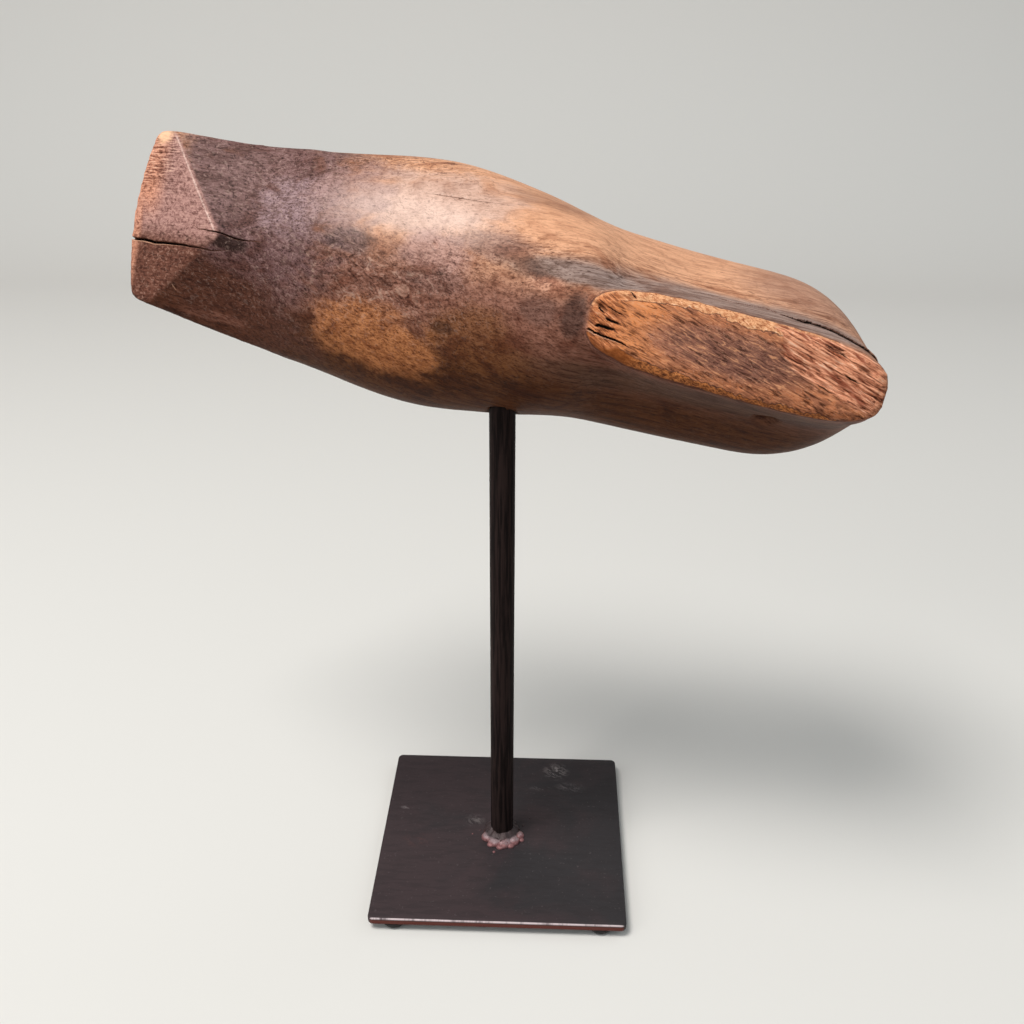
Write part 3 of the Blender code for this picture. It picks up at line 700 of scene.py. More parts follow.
@dataclass
class Wood:
    """The last's wood: its shape with all its wear, and the marks that its finish follows.

    Attributes:
        shape: the last's frame.
        voxel: how wide the even mesh's squares are.
        crisp_angle_deg: the angle past which an edge of the solid is crisp.
        crisp_reach, touched_share: how far from those edges, in millimetres, the smoothing is full, and
            the share of it within which it is least.
        smoothing_rounds: how often the flanks, the wood near the edges and all of it are smoothed.
        cone_cell, torn_cell, edge_cell: how finely those places are divided, in millimetres.
        edge_band: how far from an edge of the toe the finer mesh reaches, in millimetres.
        toe_from: where the toe starts, in millimetres.
        splits: how often the mesh is divided.
        rod_clearance: how far the socket's wall stays from the rod.
        socket_radius, socket_above: how far from the rod's axis, in millimetres, and how high above the
            rod's end the socket's wall reaches.
        cone_span, rim_above, top_above: where the cone's top lies, in millimetres.
        rear_torn_to, front_torn: where its grain is torn, in millimetres.
    """

    shape: LastFrame = field(default_factory=LastFrame)
    voxel: float = 1.28 * MM
    crisp_angle_deg: float = 25.0
    crisp_reach: float = 2.4
    touched_share: float = 0.45
    smoothing_rounds: tuple[int, int, int] = (26, 5, 2)
    cone_cell: float = 0.50
    torn_cell: float = 0.34
    edge_cell: float = 0.50
    edge_band: float = 0.9
    toe_from: float = 234.0
    splits: int = 4
    rod_clearance: float = 0.3 * MM
    socket_radius: float = 6.2
    socket_above: float = 1.0 * MM
    cone_span: tuple[float, float] = (6.0, 110.5)
    rim_above: float = 72.5
    top_above: float = 74.0
    rear_torn_to: float = 50.0
    front_torn: tuple[float, float] = (92.0, 109.5)

    def build(self) -> bpy.types.Object:
        """Models the last and gives it its finish.

        Returns:
            The finished piece, which stands for the solid.
        """
        solid = self.merged_solid()
        edges = self.crisp_edges(solid)
        bm = self.remeshed(solid)
        self.soften(bm, edges)
        self.clear_socket(bm)
        surface = BVHTree.FromBMesh(bm)
        paths = {crack.name: crack.samples(surface, self.shape) for crack in CRACKS}
        self.refine(bm, edges, paths)
        marks = self.carve(bm, edges, paths)
        mesh = bpy.data.meshes.new("last_wood")
        bm.to_mesh(mesh)
        bm.free()
        for name, values in marks.items():
            layer = mesh.attributes.new(name, "FLOAT", "POINT")
            layer.data.foreach_set("value", values.astype(np.float32))
        mesh.shade_smooth()
        piece = linked("last_wood", mesh)
        mesh.materials.append(OldWood(self.shape).material())
        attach(piece, Body.LAST.value)
        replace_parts(piece, "last_body")
        return piece

    def merged_solid(self) -> bmesh.types.BMesh:
        """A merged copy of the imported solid's loose triangles.

        Returns:
            The copy.
        """
        bm = bmesh.new()
        bm.from_mesh(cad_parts["last_body"].data)
        bmesh.ops.remove_doubles(bm, verts=bm.verts, dist=MERGE_WITHIN)
        bm.normal_update()
        return bm

    def crisp_edges(self, bm: bmesh.types.BMesh) -> KDTree:
        """Points along the solid's crisp edges, in the last's frame, for distances to them.

        Args:
            bm: the merged solid.

        Returns:
            A tree of the points.
        """
        limit = math.radians(self.crisp_angle_deg)
        spots: list[Vector] = []
        for edge in bm.edges:
            if len(edge.link_faces) == 2 and edge.calc_face_angle() > limit:
                first, second = (vert.co for vert in edge.verts)
                count = max(1, int((second - first).length / (0.5 * MM)))
                spots += [first.lerp(second, i / count) for i in range(count + 1)]
        return nearest_tree(self.shape.to_last(np.array(spots)))

    def remeshed(self, solid: bmesh.types.BMesh) -> bmesh.types.BMesh:
        """The solid's surface as an even mesh of small squares.

        Args:
            solid: the merged solid, which is used up.

        Returns:
            The even mesh.
        """
        mesh = bpy.data.meshes.new("last_rough")
        solid.to_mesh(mesh)
        solid.free()
        holder = linked("last_rough", mesh)
        change = holder.modifiers.new("even", "REMESH")
        change.mode = "VOXEL"
        change.voxel_size = self.voxel
        evaluated = holder.evaluated_get(bpy.context.evaluated_depsgraph_get())
        bm = bmesh.new()
        bm.from_mesh(evaluated.to_mesh())
        evaluated.to_mesh_clear()
        bpy.data.objects.remove(holder, do_unlink=True)
        bpy.data.meshes.remove(mesh)
        return bm

    def local_points(self, verts: Sequence[bmesh.types.BMVert]) -> np.ndarray:
        """The vertices' places in the last's frame, in millimetres."""
        return self.shape.to_last(np.array([vert.co[:] for vert in verts]))

    def soften(self, bm: bmesh.types.BMesh, edges: KDTree) -> None:
        """Smooths the faceted flanks, and only touches the crisp edges.

        Args:
            bm: the even mesh.
            edges: the crisp edges' points.
        """
        verts = list(bm.verts)
        away = np.array([edges.find(place)[2] for place in self.local_points(verts)])
        soft = [vert for vert, far in zip(verts, away) if far > self.crisp_reach]
        near = [vert for vert, far in zip(verts, away) if far > self.crisp_reach * self.touched_share]
        for count, group in zip(self.smoothing_rounds, (soft, near, verts)):
            for _ in range(count):
                bmesh.ops.smooth_vert(
                    bm, verts=group, factor=0.5, use_axis_x=True, use_axis_y=True, use_axis_z=True
                )
        bmesh.ops.triangulate(bm, faces=bm.faces)

    def clear_socket(self, bm: bmesh.types.BMesh) -> None:
        """Keeps the wall of the rod's hole clear of the rod.

        Args:
            bm: the even mesh.
        """
        low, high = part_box("support_rod")
        axis = on_rod_axis(0.0)
        radius = (high.x - low.x) / 2 + self.rod_clearance
        for vert in bm.verts:
            out = Vector((vert.co.x - axis.x, vert.co.y - axis.y, 0.0))
            if vert.co.z < high.z + SEAT_GAP and 0.3 * radius < out.length < radius:
                vert.co += out.normalized() * (radius - out.length)

    def refine(self, bm: bmesh.types.BMesh, crisp: KDTree, paths: dict[str, np.ndarray]) -> None:
        """Divides the mesh more finely on the cone's top, in torn grain, at the toe's edges and at cracks.

        Args:
            bm: the even mesh, in triangles.
            crisp: the crisp edges' points.
            paths: the cracks' points.
        """
        samples = np.concatenate([paths[crack.name][:, :3] for crack in CRACKS])
        counts = [len(paths[crack.name]) for crack in CRACKS]
        cells = np.repeat([crack.cell for crack in CRACKS], counts)
        reaches = np.repeat([crack.width * 1.4 + crack.cell for crack in CRACKS], counts)
        tree = nearest_tree(samples)
        for _ in range(self.splits):
            edges = [edge for edge in bm.edges if edge.calc_length() > 0.3 * MM]
            middles = np.array([((edge.verts[0].co + edge.verts[1].co) / 2)[:] for edge in edges])
            local = self.shape.to_last(middles)
            wanted = np.full(len(edges), self.voxel / MM * 1.2)
            wanted[self.on_cone_top(local)] = self.cone_cell
            wanted[self.on_torn_grain(local)] = self.torn_cell
            for i, place in enumerate(local):
                _, nearest, away = tree.find(place)
                if away < reaches[nearest]:
                    wanted[i] = min(wanted[i], cells[nearest])
                elif place[0] > self.toe_from and crisp.find(place)[2] < self.edge_band:
                    wanted[i] = min(wanted[i], self.edge_cell)
            lengths = np.array([edge.calc_length() for edge in edges]) / MM
            chosen = {edges[i] for i in np.nonzero(lengths > 1.45 * wanted)[0]}
            if not chosen:
                return
            self.split(bm, chosen)

    @staticmethod
    def split(bm: bmesh.types.BMesh, chosen: set[bmesh.types.BMEdge]) -> None:
        """Halves the chosen edges, and the third edge of a face that has two, so that all stays triangles.

        Args:
            bm: the mesh.
            chosen: the edges, to which those third edges are added.
        """
        faces = {face for edge in chosen for face in edge.link_faces}
        while faces:
            added = set()
            for face in faces:
                left = [edge for edge in face.edges if edge not in chosen]
                if len(left) == 1:
                    added.add(left[0])
            chosen |= added
            faces = {face for edge in added for face in edge.link_faces}
        bmesh.ops.subdivide_edges(
            bm, edges=list(chosen), cuts=1, use_grid_fill=True, use_single_edge=True, use_only_quads=False
        )
        many = [face for face in bm.faces if len(face.verts) > 3]
        if many:
            bmesh.ops.triangulate(bm, faces=many)

    def on_cone_top(self, points: np.ndarray) -> np.ndarray:
        """Which places lie on the cone's top or its rim."""
        first, last = self.cone_span
        return (points[:, 2] > self.rim_above) & (points[:, 0] < last) & (points[:, 0] > first)

    @staticmethod
    def rear_tear(points: np.ndarray) -> np.ndarray:
        """How far the torn grain at the cone's heel end reaches.

        Args:
            points: the places in the last's frame.

        Returns:
            One share for each place, from 0 to 1.
        """
        angle = math.radians(REAR_GRAIN_DEG)
        level = points[:, 0] * math.sin(angle) + points[:, 1] * math.cos(angle)
        fingers = waves(np.stack((points[:, 0], level, points[:, 2]), axis=1), (30.0, 1.1, 9.0), 61.0)
        ragged = 7.0 * fingers + 1.5 * waves(points, 2.0, 67.0)
        border = 47.5 - 0.093 * (points[:, 1] + 8.0) ** 2
        return smooth_step(border + ragged - points[:, 0], -1.0, 2.0) * smooth_step(points[:, 2], 74.0, 76.0)

    @staticmethod
    def front_tear(points: np.ndarray) -> np.ndarray:
        """How far the torn grain at the cone's front end reaches.

        Args:
            points: the places in the last's frame.

        Returns:
            One share for each place, from 0 to 1.
        """
        ragged = 4.0 * waves(points, (9.0, 1.2, 6.0), 71.0) + 1.4 * waves(points, 2.0, 72.0)
        border = 94.0 + 0.25 * np.abs(points[:, 1])
        reach = smooth_step(points[:, 0] + ragged, border, border + 6.0)
        return reach * smooth_step(points[:, 2], 74.0, 75.6)

    def on_torn_grain(self, points: np.ndarray) -> np.ndarray:
        """Which places lie where the grain is torn.

        Args:
            points: the places in the last's frame.

        Returns:
            True or False for each place.
        """
        heel_end = points[:, 0] < self.rear_torn_to
        front_end = (points[:, 0] > self.front_torn[0]) & (points[:, 0] < self.front_torn[1])
        return (points[:, 2] > self.top_above) & (heel_end | front_end)

    def carve(
        self, bm: bmesh.types.BMesh, edges: KDTree, paths: dict[str, np.ndarray]
    ) -> dict[str, np.ndarray]:
        """Moves each vertex in or out for the cracks, dents, torn grain and wear.

        Args:
            bm: the refined mesh.
            edges: the crisp edges' points.
            paths: the cracks' points.

        Returns:
            The marks for the finish, one value for each vertex.
        """
        bm.normal_update()
        verts = list(bm.verts)
        points = self.local_points(verts)
        far = np.array([edges.find(place)[2] for place in points])
        outside = self.outer(bm)
        depth = 0.10 * waves(points, (22.0, 12.0, 12.0), 1.0) + 0.035 * waves(points, (6.0, 3.5, 3.5), 2.0)
        for dent in DENTS:
            depth += dent.depth_at(points)
        rear = self.rear_tear(points)
        front = self.front_tear(points)
        rear_strands = self.strands(points, REAR_GRAIN_DEG, 73.0)
        front_strands = self.strands(points, FRONT_GRAIN_DEG, 79.0)
        rear_fibres = self.fibres(points, rear_strands, 76.0)
        front_fibres = self.fibres(points, front_strands, 82.0)
        depth += rear * rear_fibres + front * front_fibres
        top = smooth_step(points[:, 2], 74.6, 75.4)
        depth += top * 0.16 * waves(points, (8.0, 6.0, 6.0), 81.0)
        depth += top * 0.08 * waves(points, (3.0, 1.4, 2.0), 82.0)
        brink = np.exp(-((far / 1.2) ** 2)) * smooth_step(points[:, 2], 72.0, 74.5)
        depth += brink * np.maximum(0.0, 0.20 + 0.45 * waves(points, (3.2, 2.2, 2.2), 83.0))
        hips = np.exp(-((far / 0.8) ** 2)) * smooth_step(points[:, 0], 228.0, 236.0)
        depth += hips * (0.05 + 0.12 * waves(points, (4.0, 1.8, 1.8), 89.0))
        cut = np.zeros(len(points))
        lips = np.zeros(len(points))
        for crack in CRACKS:
            opening, lip = self.groove(crack, paths[crack.name], points)
            depth += opening * crack.depth - lip * crack.lip
            # The cut mark holds the painted shade: dark inside each groove, and on a ledge's face under its
            # raised side.
            cut = np.maximum(cut, opening ** 0.5 * crack.dark)
            if crack.ledge:
                face = smooth_step(opening, 0.0, 0.02) * smooth_step(lip, 0.02, 0.1)
                cut = np.maximum(cut, face * crack.dark)
            else:
                # The lip mark holds where the painted highlight beside a crack goes.
                lips = np.maximum(lips, lip * min(1.0, crack.lip / 0.1))
        depth *= outside
        for vert, normal, push in zip(verts, [vert.normal.copy() for vert in verts], depth):
            vert.co -= normal * (push * MM)
        strands = np.where(rear > front, rear_strands, front_strands)
        return {
            "cut": cut,
            "lip": lips,
            "torn": np.maximum(rear, front) * outside,
            "rim": self.rim_band(points) * outside,
            "edge": np.exp(-far / 0.9),
            "strand": np.clip(0.5 + 0.5 * strands, 0.0, 1.0),
        }

    @staticmethod
    def rim_band(points: np.ndarray) -> np.ndarray:
        """The paler worn borders of the cone's top.

        Args:
            points: the places in the last's frame.

        Returns:
            One share for each place, from 0 in the top's middle to 1.
        """
        calm = 0.35 + 0.65 * smooth_step(points[:, 0], 92.0, 70.0)
        ragged = calm * (1.1 * waves(points, (5.0, 2.5, 4.0), 101.0) + 0.8 * waves(points, 1.3, 103.0))
        upper = np.interp(points[:, 0], UPPER_RIM[0], UPPER_RIM[1])
        lower = np.interp(points[:, 0], LOWER_RIM[0], LOWER_RIM[1])
        above = smooth_step(upper + ragged - points[:, 1], -0.2, 0.5)
        below = smooth_step(points[:, 1] - lower + ragged, -0.2, 0.5)
        return np.maximum(above, below) * smooth_step(points[:, 2], 73.6, 75.0)

    def outer(self, bm: bmesh.types.BMesh) -> np.ndarray:
        """Tells the outer surface from the rod's hole.

        Args:
            bm: the refined mesh.

        Returns:
            0 for each vertex in the hole and 1 for all others.
        """
        places = np.array([vert.co[:2] for vert in bm.verts])
        away = np.linalg.norm(places - np.array(on_rod_axis(0.0)[:2]), axis=1) / MM
        heights = np.array([vert.co.z for vert in bm.verts])
        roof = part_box("support_rod")[1].z + self.socket_above
        return np.where((away < self.socket_radius) & (heights < roof), 0.0, 1.0)

    @staticmethod
    def strands(points: np.ndarray, turn_deg: float, seed: float) -> np.ndarray:
        """Long thin noise along the grain of the cone's top.

        Args:
            points: the places in the last's frame.
            turn_deg: how far the grain is turned from the last's length.
            seed: a shift that makes one pattern differ from another.

        Returns:
            One height for each place, from about -1 to 1.
        """
        angle = math.radians(turn_deg)
        along = points[:, 0] * math.cos(angle) - points[:, 1] * math.sin(angle)
        across = points[:, 0] * math.sin(angle) + points[:, 1] * math.cos(angle)
        places = np.stack((along, across + 0.4 * waves(points, 5.0, seed), points[:, 2]), axis=1)
        wide = waves(places, (15.0, 1.4, 7.0), seed + 1.0)
        fine = waves(places, (7.0, 0.70, 4.0), seed + 2.0)
        return 0.55 * wide + 0.65 * fine

    @staticmethod
    def fibres(points: np.ndarray, strands: np.ndarray, seed: float) -> np.ndarray:
        """How deep the torn fibres lie: ridges and gaps along the grain, a little below the smooth top.

        Args:
            points: the places in the last's frame.
            strands: the noise along the grain.
            seed: the shift of the broader noise.

        Returns:
            One depth for each place, in millimetres.
        """
        gaps = np.maximum(0.0, strands - 0.22)
        return 0.35 + 0.50 * strands + 1.5 * gaps + 0.25 * waves(points, 4.0, seed)

    @staticmethod
    def groove(crack: Crack, samples: np.ndarray, points: np.ndarray) -> tuple[np.ndarray, np.ndarray]:
        """How far each place lies in a crack, and on its raised lip.

        Args:
            crack: the crack.
            samples: the points along it and their shares of the way.
            points: the places.

        Returns:
            The opening and the lip, each from 0 to 1.
        """
        reach = crack.width * 3.0 + crack.lip_spread
        box_low = samples[:, :3].min(axis=0) - reach
        box_high = samples[:, :3].max(axis=0) + reach
        picks = np.nonzero(np.all((points > box_low) & (points < box_high), axis=1))[0]
        opening = np.zeros(len(points))
        lip = np.zeros(len(points))
        gaps = np.linalg.norm(points[picks, None, :] - samples[None, :, :3], axis=2)
        nearest = gaps.argmin(axis=1)
        away = gaps[np.arange(len(picks)), nearest]
        share = crack.share_open(samples[nearest, 3])
        half = crack.width * (0.45 + 0.55 * share) / 2 * 1.25
        opening[picks] = share * np.clip(1.0 - (away / half) ** 2, 0.0, 1.0) ** 0.7
        beside = ((points[picks] - samples[nearest, :3]) * np.array(crack.lip_side)).sum(axis=1)
        raised = smooth_step(beside / half, 0.35, 0.9)
        beyond = np.maximum(0.0, away - half) / (crack.lip_spread * half)
        lip[picks] = share * raised * np.exp(-(beyond**2))
        return opening, lip


@dataclass(frozen=True)
class Stain:
    """A patch of another tone, in millimetres of its piece's own frame.

    Attributes:
        centre: where it is strongest.
        radii: how far it reaches along each axis.
        tone: its colour.
        strength: how strong it is, up to 1.
        soft: how frayed its border is.
    """

    centre: Point
    radii: Point
    tone: Tone
    strength: float
    soft: float = 0.6

    def reach(self, graph: Graph, where: Value, ragged: Value) -> Value:
        """How far out in the stain each place lies: 0 at its centre and about 1 at its border.

        Args:
            graph: the material's nodes.
            where: coordinates in the piece's frame, in metres.
            ragged: noise that frays the border.

        Returns:
            The distance as a share of the radii.
        """
        centre = tuple(part * MM for part in self.centre)
        per_metre = tuple(1.0 / (radius * MM) for radius in self.radii)
        return graph.distance(where, centre, per_metre) + (ragged - 0.5) * self.soft


@dataclass(frozen=True)
class ToeFlat:
    """The toe's flat: two tones, fine rasp lines across it, its worn edges and a painted highlight along its
    upper hip.

    Attributes:
        slope: how much a metre along and a metre up count towards the flat's level.
        level: the level at which the flat lies, in metres.
    """

    slope: tuple[float, float] = (0.475, 0.880)
    level: float = 138.8 * MM
    upper: Tone = (194, 150, 142)
    lower: Tone = (118, 75, 61)
    soiled: Tone = (80, 50, 42)
    bare: Tone = (236, 168, 138)
    rasp_line: Tone = (128, 100, 94)
    rasp_ridge: Tone = (248, 206, 182)
    grit: Tone = (146, 122, 116)
    pit: Tone = (160, 138, 134)
    fleck: Tone = (246, 204, 184)
    corner: Tone = (255, 208, 170)
    worn: Tone = (228, 150, 110)
    hip_highlight: Tone = (252, 222, 210)
    corner_place: Point = (262.5 * MM, -30.5 * MM, 15.0 * MM)
    corner_per_metre: Point = (250.0, 300.0, 230.0)

    def colour(self, graph: Graph, where: Value, under: Value, edge: Value, drift: Value) -> Value:
        """Lays the flat's finish over the wood's colour.

        Args:
            graph: the material's nodes.
            where: coordinates in the last's frame.
            under: the wood's colour round the flat.
            edge: how near the crisp edges are.
            drift: slow noise.

        Returns:
            The colour.
        """
        along, across, up = graph.axes(where)
        level = along * self.slope[0] + up * self.slope[1]
        flat = level.step(self.level - 0.9 * MM, self.level - 0.25 * MM)
        lines = graph.cloud(graph.stretch(where, (90.0, 1700.0, 300.0), (0.0, 0.0, -0.10)), 3.0, 0.7, 0.3)
        grit = graph.cloud(graph.stretch(where, (700.0, 900.0, 700.0)), 4.0, 0.7, 0.6)
        rough = graph.cloud(graph.stretch(where, (360.0, 620.0, 420.0)), 5.0, 0.78, 0.8)
        rasped = across.step(-0.010, -0.018) * along.step(0.254, 0.259) * 0.7 + 0.30

        tone = graph.blend(self.upper, self.lower, across.step(-0.002, 0.007))
        tone = graph.blend(tone, self.soiled, rough.step(0.50, 0.36) * across.step(-0.004, 0.006) * 0.7)
        orange = along.step(0.2575, 0.2650) * across.step(0.002, -0.012)
        tone = graph.blend(tone, self.bare, (orange * 0.90).most(along.step(0.2650, 0.2675) * 0.7))
        tone = graph.blend(tone, self.rasp_line, lines.step(0.46, 0.62) * rasped, "MULTIPLY")
        tone = graph.blend(tone, self.grit, grit.step(0.54, 0.36) * 0.8, "MULTIPLY")
        tone = graph.blend(tone, self.pit, rough.step(0.52, 0.36) * 0.45, "MULTIPLY")
        tone = graph.blend(tone, self.fleck, grit.step(0.54, 0.66) * 0.22)
        tone = graph.blend(tone, self.rasp_ridge, lines.step(0.46, 0.34) * (rasped - 0.25) * 0.8)
        colour = graph.blend(under, tone, flat * 0.95)

        corner = graph.distance(where, self.corner_place, self.corner_per_metre)
        corner = (corner + (grit - 0.5) * 1.0 + (lines - 0.5) * 0.8).step(1.1, 0.4)
        colour = graph.blend(colour, self.corner, corner * 0.85)
        worn = edge.step(0.25, 0.80) * along.step(0.2600, 0.2640) * drift.step(0.30, 0.46)
        colour = graph.blend(colour, self.worn, worn * across.step(0.020, 0.0) * 0.9)
        # Painted highlight: a pale line along the upper hip only, where the edge faces the light.
        hip_highlight = edge.step(0.50, 0.84) * along.step(0.234, 0.237) * along.step(0.264, 0.260)
        hip_highlight = hip_highlight * across.step(0.001, -0.003) * grit.step(0.30, 0.46)
        return graph.blend(colour, self.hip_highlight, hip_highlight * 0.8)


@dataclass(frozen=True)
class ConeTop:
    """The cone's top: reddish brown with darker clouds, short curly scratches and fine dark lines."""

    heel_end: Tone = (204, 130, 90)
    front_end: Tone = (246, 158, 100)
    middle: Tone = (170, 114, 92)
    cloud: Tone = (120, 82, 72)
    deep: Tone = (128, 86, 74)
    dark_line: Tone = (84, 62, 56)
    light_line: Tone = (246, 178, 132)
    curl: Tone = (238, 188, 158)

    def colour(self, graph: Graph, where: Value, along: Value) -> Value:
        """The top's colour.

        Args:
            graph: the material's nodes.
            where: coordinates in the last's frame.
            along: the first of them.

        Returns:
            The colour.
        """
        turned = (0.0, 0.0, math.radians(REAR_GRAIN_DEG))
        lines = graph.cloud(graph.stretch(where, (170.0, 1150.0, 700.0), turned), 4.0, 0.72, 0.9)
        curls = graph.cloud(graph.stretch(where, (380.0, 520.0, 520.0)), 2.0, 0.5, 2.4)
        blotch = graph.cloud(graph.stretch(where, (130.0, 260.0, 260.0), turned), 4.0, 0.65, 0.9)
        dim = graph.distance(where, (0.064, 0.001, 0.076), (36.0, 120.0, 60.0)) + (blotch - 0.5) * 1.2
        centre = dim.step(1.10, 0.55)
        colour = graph.blend(self.heel_end, self.front_end, along.step(0.076, 0.092))
        colour = graph.blend(colour, self.middle, centre)
        colour = graph.blend(colour, self.cloud, blotch.step(0.45, 0.58) * (0.45 + centre * 0.4))
        deep = graph.distance(where, (0.052, 0.003, 0.076), (46.0, 140.0, 60.0)) + (blotch - 0.5) * 0.8
        colour = graph.blend(colour, self.deep, deep.step(1.2, 0.6) * 0.75)
        colour = graph.blend(colour, self.dark_line, lines.step(0.49, 0.63) * 0.85, "MULTIPLY")
        colour = graph.blend(colour, self.light_line, lines.step(0.47, 0.35) * 0.62)
        curl = (curls - 0.5).size().step(0.030, 0.0) * blotch.step(0.60, 0.44)
        return graph.blend(colour, self.curl, curl * 0.35)


@dataclass(frozen=True)
class WornRim:
    """The cone's worn rim: cream and orange at its upper side, dark orange at its lower side."""

    upper: Tone = (240, 182, 136)
    upper_dim: Tone = (196, 126, 86)
    upper_cream: Tone = (255, 222, 196)
    upper_pit: Tone = (110, 68, 50)
    lower: Tone = (222, 142, 84)
    lower_dim: Tone = (140, 84, 50)
    lower_pit: Tone = (58, 35, 26)
    lower_light: Tone = (232, 158, 98)
    lip: Tone = (140, 74, 31)

    def colour(self, graph: Graph, where: Value, across: Value, drift: Value) -> Value:
        """The rim's colour.

        Args:
            graph: the material's nodes.
            where: coordinates in the last's frame.
            across: the second of them.
            drift: slow noise.

        Returns:
            The colour.
        """
        bits = graph.cloud(graph.stretch(where, (640.0, 1300.0, 1200.0), (0.0, 0.0, 0.35)), 4.0, 0.75, 0.6)
        upper = graph.blend(self.upper, self.upper_dim, bits.step(0.42, 0.58))
        upper = graph.blend(upper, self.upper_cream, bits.step(0.44, 0.32) * drift.step(0.54, 0.40))
        upper = graph.blend(upper, self.upper_pit, bits.step(0.57, 0.66) * 0.75)
        lower = graph.blend(self.lower, self.lower_dim, bits.step(0.42, 0.56))
        lower = graph.blend(lower, self.lower_pit, bits.step(0.56, 0.66) * 0.80)
        lower = graph.blend(lower, self.lower_light, drift.step(0.48, 0.62) * bits.step(0.50, 0.38) * 0.7)
        near_lip = graph.distance(where, (0.101, 0.0088, 0.0745), (75.0, 190.0, 190.0)).step(1.2, 0.6)
        lower = graph.blend(lower, self.lip, near_lip * 0.8)
        return graph.blend(upper, lower, across.step(-0.003, 0.003))


@dataclass(frozen=True)
class TornGrain:
    """Raw torn grain: orange-pink fibres with dark lines between them, and painted shade in the deepest gaps.
    """

    rear_light: Tone = (246, 176, 140)
    rear_middle: Tone = (196, 124, 94)
    front_light: Tone = (226, 146, 96)
    front_middle: Tone = (160, 94, 60)
    pale: Tone = (255, 216, 188)
    dark: Tone = (74, 43, 35)
    band: Tone = (178, 148, 144)
    gap_shade: Tone = (56, 32, 26)

    def colour(self, graph: Graph, where: Value, along: Value, strand: Value) -> Value:
        """The torn grain's colour.

        Args:
            graph: the material's nodes.
            where: coordinates in the last's frame.
            along: the first of them.
            strand: how deep the mesh's own fibres lie.

        Returns:
            The colour.
        """
        rear_turn, front_turn = ((0.0, 0.0, math.radians(turn)) for turn in (REAR_GRAIN_DEG, FRONT_GRAIN_DEG))
        rear = graph.cloud(graph.stretch(where, (150.0, 1450.0, 700.0), rear_turn), 5.0, 0.76, 0.6)
        front = graph.cloud(graph.stretch(where, (150.0, 1450.0, 700.0), front_turn), 5.0, 0.76, 0.6)
        near_toe = along.step(0.068, 0.070)
        fine = rear * (1.0 - near_toe) + front * near_toe
        light = graph.blend(self.rear_light, self.front_light, near_toe)
        middle = graph.blend(self.rear_middle, self.front_middle, near_toe)
        colour = graph.blend(light, middle, fine.step(0.43, 0.55))
        colour = graph.blend(colour, self.pale, fine.step(0.44, 0.35) * 0.75 * (1.0 - near_toe * 0.5))
        colour = graph.blend(colour, self.dark, fine.step(0.53, 0.61) * 0.9)
        bands = graph.cloud(graph.stretch(where, (60.0, 420.0, 300.0), front_turn), 3.0, 0.6, 0.4)
        banded = bands.step(0.50, 0.64) * (1.0 - near_toe * 0.6)
        colour = graph.blend(colour, self.band, banded, "MULTIPLY")
        # Painted shade in the deepest gaps between the fibres.
        return graph.blend(colour, self.gap_shade, strand.step(0.66, 0.82) * 0.6)


@dataclass(frozen=True)
class GrainLayers:
    """The layers of noise that the wood's grain is made of, each from about 0.2 to 0.8."""

    streaks: Value
    grain: Value
    flecks: Value
    pits: Value
    patches: Value
    drift: Value

    @classmethod
    def laid(cls, graph: Graph, where: Value, rise_deg: float) -> "GrainLayers":
        """Makes the layers.

        Args:
            graph: the material's nodes.
            where: coordinates in the last's frame.
            rise_deg: how steeply the grain climbs towards the toe.

        Returns:
            The layers.
        """
        rise = (0.0, math.radians(rise_deg), 0.0)
        return cls(
            streaks=graph.cloud(graph.stretch(where, (26.0, 620.0, 620.0), rise), 3.0, 0.6, 0.35),
            grain=graph.cloud(graph.stretch(where, (100.0, 1700.0, 1700.0), rise), 3.0, 0.65, 0.3),
            flecks=graph.cloud(graph.stretch(where, (330.0, 2600.0, 2600.0), rise), 1.0, 0.5),
            pits=graph.cloud(graph.stretch(where, (560.0, 820.0, 700.0), (0.0, 0.0, 0.5)), 4.0, 0.62, 1.3),
            patches=graph.cloud(graph.stretch(where, (190.0, 300.0, 260.0), (0.0, 0.0, 0.4)), 4.0, 0.65, 0.9),
            drift=graph.cloud(graph.stretch(where, (60.0, 110.0, 110.0)), 4.0, 0.6, 0.5),
        )


